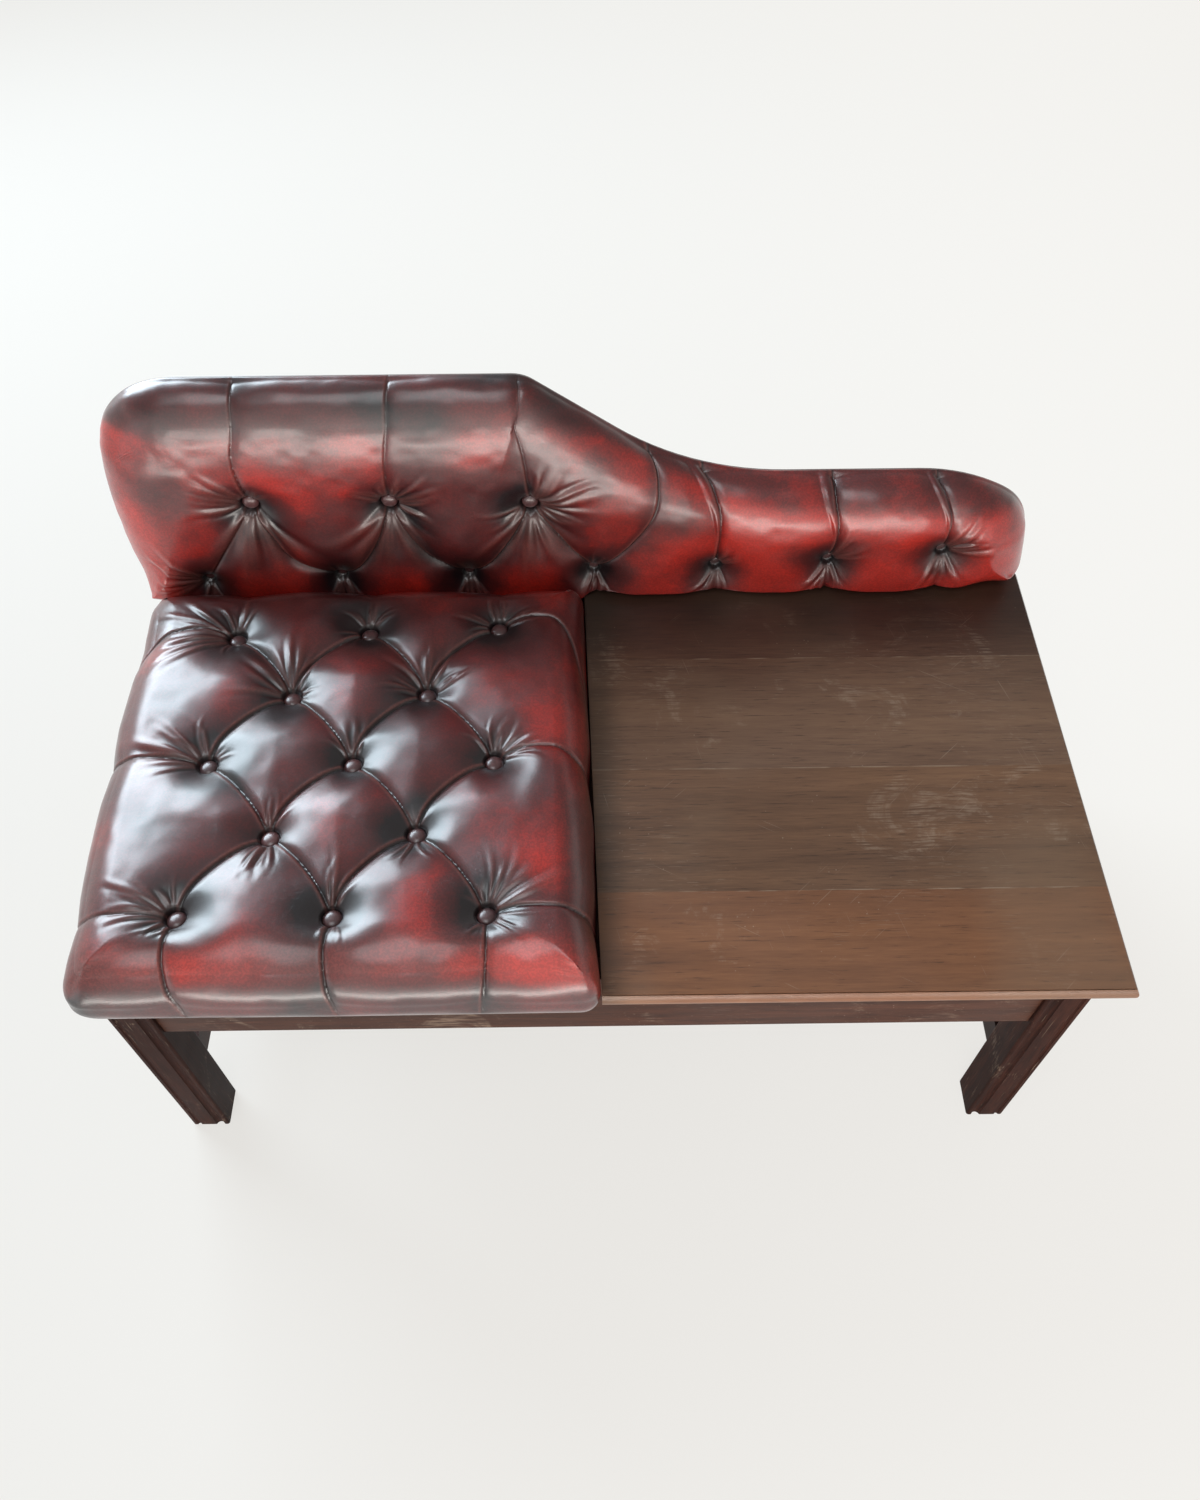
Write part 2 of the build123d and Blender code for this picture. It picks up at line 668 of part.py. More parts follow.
def back_blank(inset, rear, thickness):
    """A sheet of the back's outline above the table, with its tongue."""
    sheet = extrude(back_outline(inset, rear), thickness, dir=(0, 1, 0))
    return sheet + tongue(inset, rear, thickness)


def back_board():
    """Shaped board with the twines' holes and the knots' recesses."""
    shape = back_blank(back_board_inset, back_y, back_board_thickness)
    for x, z in back_upper_buttons + back_lower_buttons:
        shape -= rod((x, back_y, z), (0, 1, 0), twine_radius + twine_clearance, back_board_thickness)
        shape -= rod((x, board_rear - knot_height - knot_clearance, z), (0, 1, 0),
                     knot_radius + knot_clearance, knot_height + knot_clearance)
    return shape - back_screw_holes


def nail_places():
    """Nails round the lining: along the shaped edge, then down and along the tongue."""
    loop = back_outline(nail_inset, board_rear).wire()
    count = ceil(loop.length / nail_pitch)
    places = [loop @ (i / count) for i in range(count)]
    low = pad_bottom + nail_inset
    upper = [(p.X, p.Z) for p in places if p.Z > low]
    tongue_x = leg_x - nail_inset
    tongue_z = leg_height - back_board_overlap + nail_inset / 2
    along = ceil(2 * tongue_x / nail_pitch)
    lower = [(-tongue_x + 2 * tongue_x * i / along, tongue_z) for i in range(along + 1)]
    return upper + lower


def nail(x, z):
    """A domed nail, its shank driven forwards."""
    face_y = board_rear + lining_thickness
    shank = rod((x, face_y, z), (0, -1, 0), nail_shank_radius, nail_shank_length)
    return shank + dome((x, face_y, z), (0, 1, 0), nail_radius, nail_edge, nail_dome - nail_edge)


# ---------------------------------------------------------------- buttons and twines
def dome(base, outward, radius, edge, rise):
    """A low dome on a short straight edge."""
    sphere = (radius ** 2 + rise ** 2) / (2 * rise)
    angle = asin(radius / sphere) / 2
    middle = (sphere * sin(angle), edge + rise - sphere * (1 - cos(angle)))
    arc = ThreePointArc((radius, edge), middle, (0, edge + rise))
    rest = Polyline((0, edge + rise), (0, 0), (radius, 0), (radius, edge))
    plane = Plane(origin=base, z_dir=outward)
    return plane.location * revolve(Plane.XZ * make_face([arc, rest]), Axis.Z)


def twine(floor, inward, through):
    """Twine from a button's underside to its knot in the board's far face."""
    start, along = Vector(*floor), Vector(*inward)
    cord = rod(start, along, twine_radius, through - knot_height)
    return cord + rod(start + along * (through - knot_height), along, knot_radius, knot_height)


def twine_room(floor, inward, through):
    return rod(floor, inward, twine_radius + twine_clearance, through)


# ================================================================ make and write
for name, (side, depth) in corner_places.items():
    save("leg_" + name, leg(side, depth))
    save("corner_block_" + name, corner_block(side, depth))
for place in rail_block_places:
    save("rail_block_" + place, rail_block(place))
save("front_rail", long_rail(front_rail_middle, []))
save("back_rail", long_rail(back_rail_middle, back_screw_holes))
save("side_rail_left", side_rail(-1))
save("side_rail_right", side_rail(1))
save("cross_rail", cross_rail())
save("stretcher_left", side_stretcher(-1))
save("stretcher_right", side_stretcher(1))
save("cross_stretcher", cross_stretcher())
for number, board in enumerate(table_boards(), 1):
    save("table_board_" + str(number), board)

# Seat
seat_points = [p for row in seat_buttons for p in row]
seat_blank = extrude(four_sided(seat_board_inset, leg_height, back_y - seat_back_left[1]),
                     seat_board_thickness, dir=up)
seat_board = seat_blank
for x, y in seat_points:
    seat_board -= rod((x, y, leg_height), up, twine_radius + twine_clearance, seat_board_thickness)
    seat_board -= rod((x, y, leg_height), up, knot_radius + knot_clearance,
                      knot_height + knot_clearance)
save("seat_board", seat_board - seat_screw_holes)

above_board = block(-frame_length, frame_length, -frame_depth, back_y, board_top_z,
                    crown_z + past)
seat_foam = seat_form(leather) & above_board
seat_cover = seat_form(0) - seat_foam - seat_blank
seat_rooms = [twine_room((x, y, board_top_z), up, seat_crown) for x, y in seat_points]
save("seat_foam", seat_foam - seat_rooms)
save("seat_cover", seat_cover - seat_rooms)
save("seat_buttons", group(dome((x, y, tufts_z), up, button_radius, button_edge, button_dome)
                           for x, y in seat_points))
save("seat_button_twines", group(twine((x, y, tufts_z), (0, 0, -1), tufts_z - leg_height)
                                 for x, y in seat_points))

dust_cover = block(-rail_inside_x + cloth_clearance, cross_rail_left - cloth_clearance,
                   rail_inside_front + cloth_clearance, rail_inside_back - cloth_clearance,
                   leg_height - cloth, leg_height)
cloth_corner = corner_block_reach + cloth_clearance * sqrt(2)
for depth in (1, -1):
    corner = corner_plan(-1, depth, [(0, 0), (cloth_corner, 0), (0, cloth_corner)])
    dust_cover -= extrude(Pos(0, 0, leg_height - past) * corner, 2 * past, dir=up)
for place in ("seat_front", "seat_back"):
    x, y = rail_block_places[place]
    half = rail_block_size / 2
    dust_cover -= block(*grow((x - half, x + half, y, y + rail_block_length,
                               leg_height - past, leg_height + past), cloth_clearance))
save("seat_dust_cover", dust_cover)

# Back
back_points = list(back_upper_buttons + back_lower_buttons)
inner_back = back_form(leather)
back_solid = back_blank(back_board_inset, back_y, back_board_thickness)
back_rooms = [twine_room((x, tufts_y - past, z), (0, 1, 0), back_y - tufts_y + past)
              for x, z in back_points]
places = nail_places()
nail_rooms = [rod((x, board_rear + lining_thickness, z), (0, -1, 0), nail_shank_radius + screw_fit,
                  nail_shank_length + screw_fit) for x, z in places]
save("back_board", back_board() - nail_rooms)
save("back_foam", inner_back - back_solid - back_rooms)
save("back_cover", back_form(0) - inner_back - back_solid - back_rooms)
save("back_lining", back_blank(lining_inset, board_rear, lining_thickness) - nail_rooms)
save("back_nails", group(nail(x, z) for x, z in places))
save("back_buttons", group(dome((x, tufts_y, z), (0, -1, 0), button_radius, button_edge, button_dome)
                           for x, z in back_points))
save("back_button_twines", group(twine((x, tufts_y, z), (0, 1, 0), board_rear - tufts_y)
                                 for x, z in back_points))

# Screws
save("seat_screws", group([screw(p, up, block_screw_length) for p in seat_screw_heads]
                          + [screw(p, up, rail_block_screw_length) for p in seat_inner_heads]))
save("table_screws", group([screw(p, up, block_screw_length) for p in table_screw_heads]
                           + [screw(p, up, rail_block_screw_length) for p in table_inner_heads]))
save("corner_block_screws", group(screw(p, d, corner_screw_length) for p, d in side_screws))
save("back_board_screws", group(screw(p, (0, -1, 0), back_screw_length) for p in back_screw_heads))
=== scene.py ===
import math

import bpy
import numpy as np
from mathutils import Matrix, Vector
from mathutils.kdtree import KDTree


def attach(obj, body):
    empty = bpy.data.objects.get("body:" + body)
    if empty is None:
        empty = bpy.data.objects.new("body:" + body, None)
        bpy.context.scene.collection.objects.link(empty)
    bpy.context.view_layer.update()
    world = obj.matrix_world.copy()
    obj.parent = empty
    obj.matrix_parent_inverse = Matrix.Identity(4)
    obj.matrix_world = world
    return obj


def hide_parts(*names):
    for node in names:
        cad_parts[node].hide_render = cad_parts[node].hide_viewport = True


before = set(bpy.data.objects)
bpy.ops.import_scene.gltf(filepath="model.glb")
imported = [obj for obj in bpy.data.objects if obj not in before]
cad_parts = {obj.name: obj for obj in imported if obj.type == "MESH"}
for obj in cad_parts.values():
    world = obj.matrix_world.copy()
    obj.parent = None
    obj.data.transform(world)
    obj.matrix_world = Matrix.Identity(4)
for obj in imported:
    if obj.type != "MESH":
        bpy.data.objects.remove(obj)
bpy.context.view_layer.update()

# The leather is drawn in millimetres, with x from the middle between the legs and y from the
# table's front edge. This shift takes it to the row's own middle.
SHIFT = np.array([8.0, -260.55, 0.0])


def settled(points):
    """Drawn points, in the row's frame and in metres."""
    return (np.asarray(points, float) + SHIFT) / 1000


# ---- shares and noise

def smooth_step(x, start, end):
    t = np.clip((x - start) / (end - start), 0, 1)
    return t * t * (3 - 2 * t)


def nearness(distance, reach):
    """1 at no distance, and evenly less to 0 at reach."""
    return np.clip(1 - distance / reach, 0, 1)


def bell(x, middle, width):
    """1 at the middle, and almost 0 two widths away to either side."""
    return np.exp(-((x - middle) / width) ** 2)


def noise(a, b, size, seed):
    """Smooth lumps over a plane, from -1 to 1, about size mm across."""
    cells = 64
    grid = np.random.default_rng(seed).uniform(-1, 1, (cells, cells))
    x, y = a / size + 10 * cells, b / size + 10 * cells
    i, j = np.floor(x).astype(int), np.floor(y).astype(int)
    u, v = x - i, y - j
    u, v = u * u * (3 - 2 * u), v * v * (3 - 2 * v)
    i0, j0, i1, j1 = i % cells, j % cells, (i + 1) % cells, (j + 1) % cells
    low = grid[i0, j0] * (1 - u) + grid[i1, j0] * u
    high = grid[i0, j1] * (1 - u) + grid[i1, j1] * u
    return low * (1 - v) + high * v


# ---- lines

def spaced(points, count):
    """A line's points, count of them, evenly spaced."""
    points = np.asarray(points, float)
    steps = np.hypot(*np.diff(points, axis=0).T)
    along = np.concatenate([[0], np.cumsum(steps)])
    places = np.linspace(0, along[-1], count)
    return np.stack([np.interp(places, along, points[:, k]) for k in (0, 1)], axis=1)


def length_of(points):
    return float(np.hypot(*np.diff(points, axis=0).T).sum())


def rolling(points, weights):
    """Each point averaged with those around it, without the ends, which have too few."""
    return np.stack([np.convolve(points[:, k], weights, "valid") for k in (0, 1)], axis=1)


def softened(loop, amount):
    """A closed line with its corners eased over about amount mm, and a point at each mm."""
    loop = np.vstack([loop, loop[:1]])
    even = spaced(loop, int(length_of(loop)) + 1)[:-1]
    reach = int(3 * amount)
    weights = np.exp(-0.5 * (np.arange(-reach, reach + 1) / amount) ** 2)
    return rolling(np.vstack([even[-reach:], even, even[:reach]]), weights / weights.sum())


def eased_line(points, count=40, reach=3):
    """An open line through points with its corners eased and its two ends kept."""
    line = spaced(points, count)
    before = [2 * line[0] - line[k] for k in range(reach, 0, -1)]
    after = [2 * line[-1] - line[-1 - k] for k in range(1, reach + 1)]
    width = 2 * reach + 1
    return rolling(np.vstack([before, line, after]), np.full(width, 1 / width))


def bezier(start, first, second, end, count=18):
    t = np.linspace(0, 1, count)[:, None]
    return ((1 - t) ** 3 * start + 3 * (1 - t) ** 2 * t * first
            + 3 * (1 - t) * t ** 2 * second + t ** 3 * end)


def bowed(start, end, bow, early=0.0):
    """A line from start to end that bows to its left by bow, sooner where early is more."""
    start, end = np.asarray(start, float), np.asarray(end, float)
    along = end - start
    left = np.array([-along[1], along[0]]) / np.hypot(*along)
    lean = 1.33         # how far a bezier's inner points lie out, for a bow of 1
    return bezier(start,
                  start + along * (0.33 - 0.15 * early) + left * bow * (lean + early * 0.5),
                  start + along * (0.67 - 0.1 * early) + left * bow * lean, end)


def arc(middle, radius, first, last):
    """Part of a circle between two directions in degrees, with a point at each mm."""
    count = max(3, int(abs(math.radians(last - first)) * radius))
    angles = np.radians(np.linspace(first, last, count))
    return np.stack([middle[0] + radius * np.cos(angles), middle[1] + radius * np.sin(angles)],
                    axis=1)


def split(loop, corners):
    """Cuts a closed line at the points nearest to its four corners, from the lower left one."""
    cuts = [int(np.argmin(np.hypot(*(loop - np.array(c)).T))) for c in corners]
    parts = []
    for k in range(4):
        first, last = cuts[k], cuts[(k + 1) % 4]
        if last <= first:
            last += len(loop)
        parts.append(loop[np.arange(first, last + 1) % len(loop)])
    bottom, right, top, left = parts
    return bottom, right, top[::-1], left[::-1]


def each(places, groups):
    """Each place with each member of its group."""
    return [(place, member) for place, group in zip(places, groups) for member in group]


def to_curve(points, curve):
    """Each point's distance from a line, how far along it that is, and on which hand."""
    best = np.full(len(points), np.inf)
    along = np.zeros(len(points))
    hand = np.ones(len(points))
    steps = np.diff(curve, axis=0)
    lengths = np.hypot(*steps.T)
    total, start = lengths.sum(), 0.0
    for corner, step, size in zip(curve, steps, lengths):
        off = points - corner
        t = np.clip((off @ step) / size ** 2, 0, 1)
        away = np.hypot(*(off - t[:, None] * step).T)
        closer = away < best
        best[closer] = away[closer]
        along[closer] = (start + t[closer] * size) / total
        hand[closer] = np.sign(step[0] * off[closer, 1] - step[1] * off[closer, 0])
        start += size
    return best, along, hand


# ---- tufted leather

BUTTON_RADIUS = 9.2


class Tufting:
    """How far a tufted skin sinks below its crowns, in mm: pleats, buttons and wrinkles."""

    BLEND = 4               # hollows that overlap are joined by the sum of these powers
    END_SHARE = 0.4         # the part of a pleat over which its end's own depth fades
    CREASE = 0.3            # where a pleat's crease lies, seen from its line
    SHADOW = 1.8            # where a wrinkle's shadow lies, in its own widths

    def __init__(self, floor, reach, dome, dome_width):
        self.floor = floor              # how far below the crowns a button sits
        self.reach = reach              # how far from a button its hollow goes
        self.dome = dome                # how far a pillow rises over its pleats
        self.dome_width = dome_width    # and how far from a pleat it is still rising
        self.pleats = []
        self.buttons = []
        self.folds = []
        self.tucks = []

    def pleat(self, curve, start, middle, end, side=1, crisp=1.0):
        """A sunk line; the numbers are shares of the dome at its two ends and its middle.

        The leather rolls into it more steeply on one side, and a thin ridge lies there.
        """
        self.pleats.append((curve, start, middle, end, side, crisp))

    def button(self, place, radius=BUTTON_RADIUS):
        self.buttons.append((place, radius))

    def fan(self, place, first, last, count, reach, height, seed, broad=1.0, start=8.0):
        """Wrinkles that run out from a button between two directions, in degrees."""
        rng = np.random.default_rng(seed)
        for k in range(count):
            share = (k + 0.5 + rng.uniform(-0.28, 0.28)) / count
            angle = math.radians(first + (last - first) * share)
            curl = rng.uniform(-0.4, 0.4) * min(1, 40 / reach)
            self.folds.append((place, angle, curl, reach * rng.uniform(0.8, 1.5),
                               height * rng.uniform(0.45, 0.85), rng.uniform(0.8, 1.25) * broad,
                               start))

    def tuck(self, curve, width, height):
        """A folded band beside a pleat, width mm wide at the far end and narrow at the button."""
        self.tucks.append((curve, width, height))

    def measure(self, sheet):
        """For points of the sheet: depth below the crowns, wrinkle height, and three shares.

        These are the gathered dye, painted shade in creases, beside wrinkles and round buttons,
        and pale wear on raised edges with a painted highlight on ridges and wrinkle crests.
        """
        power, lift, shade, dark, rub_and_highlight = np.zeros((5, len(sheet)))
        for pleat in self.pleats:
            self.add_pleat(sheet, pleat, power, lift, shade, dark, rub_and_highlight)
        for place, _ in self.buttons:
            r = np.hypot(*(sheet - place).T)
            power += (self.floor * nearness(r, self.reach) ** 2.3) ** self.BLEND
            shade = np.maximum(shade, nearness(r, self.reach * 0.9) ** 1.5 * 0.95)
        depth = power ** (1 / self.BLEND)
        for curve, width, height in self.tucks:
            away, along, hand = to_curve(sheet, curve)
            wide = np.maximum(width * np.clip(along * 1.3, 0.05, 1), 1.0)
            part = np.clip(away * np.where(hand > 0, 1, -1) / wide, 0, 1)
            inside = (away < wide) & (hand > 0) & (along > 0.04) & (along < 1)
            band = height * smooth_step(along, 0.04, 0.4) * np.sin(math.pi * part)
            lift += np.where(inside, band, 0)
        for fold in self.folds:
            self.add_fold(sheet, fold, lift, dark, rub_and_highlight)
        for place, radius in self.buttons:
            r = np.hypot(*(sheet - place).T)
            under = 1 - smooth_step(r, radius - 0.6, radius + 1.6)
            depth = depth * (1 - under) + (self.floor + 1) * under
            lift *= 1 - under
            # Painted shade in the ring where the leather tucks under the button.
            dark = np.maximum(dark, 0.8 * bell(r - radius, 0.6, 1.2))
        return depth, lift, shade, dark, rub_and_highlight

    def add_pleat(self, sheet, pleat, power, lift, shade, dark, rub_and_highlight):
        """A soft valley with painted shade in its crease and a thin, pale ridge beside that."""
        curve, start, middle, end, side, crisp = pleat
        wide = self.dome_width
        low, high = curve.min(axis=0) - wide, curve.max(axis=0) + wide
        near = np.flatnonzero(np.all((sheet > low) & (sheet < high), axis=1))
        away, along, hand = to_curve(sheet[near], curve)
        share = (middle + (start - middle) * nearness(along, self.END_SHARE) ** 2
                 + (end - middle) * nearness(1 - along, self.END_SHARE) ** 2)
        edge = away * hand * side
        broad = self.dome * nearness(away, wide) ** 2
        steep = np.where(edge > 0, 2.6 * nearness(away, 10) ** 2, 0.8 * nearness(away, 5) ** 2)
        power[near] += (share * (broad + crisp * steep)) ** self.BLEND
        shade[near] = np.maximum(shade[near], 0.3 * share * bell(away, 0, 9.0))
        show = np.clip(share * 1.5, 0, 1) * crisp
        # The crease is painted dark as shade; the ridge is painted pale, as rubbed wear and as a
        # highlight.
        dark[near] = np.maximum(dark[near], 0.95 * show * bell(edge, self.CREASE, 1.15))
        rub_and_highlight[near] = np.maximum(rub_and_highlight[near], 0.55 * show * bell(edge, -2.1, 1.4))
        lift[near] -= 1.1 * show * bell(edge, self.CREASE, 1.2)
        lift[near] += 0.4 * show * bell(edge, -2.2, 1.4)

    def add_fold(self, sheet, fold, lift, dark, rub_and_highlight):
        """A wrinkle curling a little on its way out, with a hollow and a painted shadow beside it.
        """
        place, angle, curl, reach, height, broad, start = fold
        off = sheet - place
        r = np.hypot(*off.T)
        near = np.flatnonzero((r > start - 2) & (r < reach * 1.1 + 2))
        off, r = off[near], r[near]
        turn = np.arctan2(off[:, 1], off[:, 0]) - angle - curl * (r / reach) ** 2
        turn = (turn + np.pi) % (2 * np.pi) - np.pi
        part = r * np.sin(np.clip(turn, -1.5, 1.5)) / (broad * (0.95 + 2.3 * r / 50))
        along = (smooth_step(r, start, start + 7)
                 * (1 - smooth_step(r, reach * 0.3, reach * 1.1)))
        lift[near] += height * along * (bell(part, 0, 1) - 0.5 * bell(part, self.SHADOW, 0.75))
        # Painted shadow beside the wrinkle, and its crest painted pale: a painted highlight, with
        # some rubbed wear.
        dark[near] = np.maximum(dark[near], 0.3 * along * bell(part, self.SHADOW, 0.6))
        rub_and_highlight[near] = np.maximum(rub_and_highlight[near], 0.4 * along * bell(part, 0, 0.8))


def grid_between(sides, cell):
    """Points spread between four lines, cell mm apart, and their numbers as a grid."""
    bottom, right, top, left = sides
    wide = int(round(length_of(bottom) / cell))
    high = int(round(length_of(left) / cell))
    bottom, top = spaced(bottom, wide + 1), spaced(top, wide + 1)
    left, right = spaced(left, high + 1), spaced(right, high + 1)
    u = np.linspace(0, 1, wide + 1)[:, None, None]
    v = np.linspace(0, 1, high + 1)[None, :, None]
    corners = ((1 - u) * (1 - v) * bottom[0] + u * (1 - v) * bottom[-1]
               + (1 - u) * v * top[0] + u * v * top[-1])
    flat = ((1 - v) * bottom[:, None] + v * top[:, None]
            + (1 - u) * left[None] + u * right[None] - corners)
    return flat.reshape(-1, 2), np.arange((wide + 1) * (high + 1)).reshape(wide + 1, high + 1)


def nearest(line, points):
    """For each point, the number of the line's point that is nearest to it."""
    tree = KDTree(len(line))
    for k, (a, b) in enumerate(line):
        tree.insert((a, b, 0), k)
    tree.balance()
    return np.array([tree.find((a, b, 0))[1] for a, b in points])


def eased_grid(values, shape, reach):
    """Columns of numbers on a grid, averaged with their neighbours three times over."""
    grid = values.reshape(*shape, -1)
    for _ in range(3):
        for axis in (0, 1):
            pad = [(0, 0)] * 3
            pad[axis] = (reach + 1, reach)
            total = np.cumsum(np.pad(grid, pad, mode="edge"), axis=axis)
            count = grid.shape[axis]
            first = np.take(total, np.arange(count), axis=axis)
            last = np.take(total, np.arange(count) + 2 * reach + 1, axis=axis)
            grid = (last - first) / (2 * reach + 1)
    return grid.reshape(-1, values.shape[1])


def leaning(direction, turn, roll, fall):
    """Outward directions on an elliptical roll, turned so far from straight up."""
    normal = np.column_stack([direction * (fall * np.sin(turn))[:, None], roll * np.cos(turn)])
    return normal / np.linalg.norm(normal, axis=1)[:, None]


def roll_rows(rolls, fall, cell):
    """The lower half of a roll: rows of inset, sink, length on the sheet, and turn."""
    across, down = 0.29 * rolls.mean(), 0.71 * fall
    count = max(2, int(round(math.hypot(across, down) / cell)))
    for k in range(1, count + 1):
        turn = math.pi / 4 * (1 + k / count)
        yield (rolls * (1 - math.sin(turn)), fall * (1 - math.cos(turn)),
               (rolls + fall) / 2 * (turn - math.pi / 4), turn)


def side_rows(rolls, fall, depth, bulge, cell, tuck=7.0):
    """The pad's side below its roll and the edge tucked in under it, as such rows."""
    around = (rolls + fall) / 2 * math.pi / 4
    count = max(2, int(round((depth - fall) / (cell * 1.4))))
    for k in range(1, count + 1):
        t = k / count
        drop = (depth - fall) * t
        inset = np.zeros(len(rolls)) - bulge * math.sin(math.pi * t) ** 2 + 2.5 * t ** 4
        yield inset, fall + drop, around + drop, math.pi / 2
    beyond = around + drop
    yield inset + tuck / 2, depth, beyond + tuck / 2, math.pi * 0.8
    yield inset + tuck, depth - 1.5, beyond + tuck, math.pi
    yield inset + tuck + 1, depth - 5, beyond + tuck + 4, math.pi


def pad_surface(sides, roll, fall, depth, bulge, cell):
    """A stuffed pad over a flat outline, with its edge rolled over.

    The roll is an ellipse: roll gives how far in it starts at a place on the outline, and fall
    how far down it goes. sides are the outline's bottom, right, top and left lines, which run
    with the axes. Gives each point's place on the unrolled sheet, its place (two in the plane
    and one down from the crowns), its outward direction, and the faces.
    """
    flat, index = grid_between(sides, cell)
    loop = np.concatenate([index[:-1, 0], index[-1, :-1], index[:0:-1, -1], index[0, :0:-1]])
    line = flat[loop]
    run = np.roll(line, -1, axis=0) - np.roll(line, 1, axis=0)
    inward = np.stack([-run[:, 1], run[:, 0]], axis=1) / np.hypot(*run.T)[:, None]
    near = nearest(line, flat)
    toward = inward[near]
    off = flat - line[near]
    gap = np.maximum(np.maximum(0.0, (off * toward).sum(axis=1)), np.hypot(*off.T) - cell)

    rolls = np.array([roll(a, b) for a, b in line], float)
    reach = int(30 / cell)
    weights = np.hanning(2 * reach + 1) / np.hanning(2 * reach + 1).sum()
    rolls = np.convolve(np.concatenate([rolls[-reach:], rolls, rolls[:reach]]), weights, "valid")
    wide = rolls[near]

    # Away from the edge both are eased, so that no crease shows where the nearest point jumps.
    share = smooth_step(gap, 2, 22)[:, None]
    eased = eased_grid(np.column_stack([toward, wide]), index.shape, int(9 / cell))
    toward = toward * (1 - share) + eased[:, :2] * share
    wide = wide * (1 - share[:, 0]) + eased[:, 2] * share[:, 0]

    # The grid ends in the middle of the roll, where that leans at 45 degrees.
    angle = math.pi / 4 * nearness(gap, wide)
    moved = np.where(gap < wide, wide * (1 - np.sin(angle)) - gap, 0)
    spots = [flat + toward * moved[:, None]]
    sinks = [fall * (1 - np.cos(angle))]
    outs = [leaning(-toward, angle, wide, fall)]
    sheets = [flat]
    faces = np.stack([index[:-1, :-1], index[1:, :-1], index[1:, 1:], index[:-1, 1:]],
                     axis=-1).reshape(-1, 4).tolist()

    # Rows go on from there to the tucked-in edge, and one face closes the pad below.
    ring = loop
    new = len(flat) + np.arange(len(line))
    for inset, sink, beyond, turn in (*roll_rows(rolls, fall, cell),
                                      *side_rows(rolls, fall, depth, bulge, cell)):
        spots.append(line + inward * inset[:, None])
        sinks.append(np.full(len(line), sink))
        sheets.append(line - inward * beyond[:, None])
        if turn <= math.pi / 2:
            outs.append(leaning(-inward, np.full(len(line), turn), rolls, fall))
        else:
            outs.append(np.column_stack([-inward * math.sin(turn),
                                         np.full(len(line), math.cos(turn))]))
        faces += np.stack([ring, new, np.roll(new, -1), np.roll(ring, -1)], axis=-1).tolist()
        ring, new = new, new + len(line)
    faces.append(ring[::-1].tolist())
    return (np.vstack(sheets), np.column_stack([np.vstack(spots), np.concatenate(sinks)]),
            np.vstack(outs), faces)


def add_mesh(name, points, faces, material, values=(), smooth=True):
    """A mesh object at the origin from points in metres, with shares kept on its points."""
    mesh = bpy.data.meshes.new(name)
    mesh.from_pydata([tuple(p) for p in points], [], faces)
    for key, numbers in dict(values).items():
        mesh.attributes.new(key, "FLOAT", "POINT").data.foreach_set(
            "value", np.clip(numbers, 0, 1).astype(np.float32))
    mesh.polygons.foreach_set("use_smooth", np.full(len(mesh.polygons), smooth))
    mesh.materials.append(material)
    mesh.update()
    piece = bpy.data.objects.new(name, mesh)
    bpy.context.scene.collection.objects.link(piece)
    return piece


# ---- materials

SHADER = "Principled BSDF"


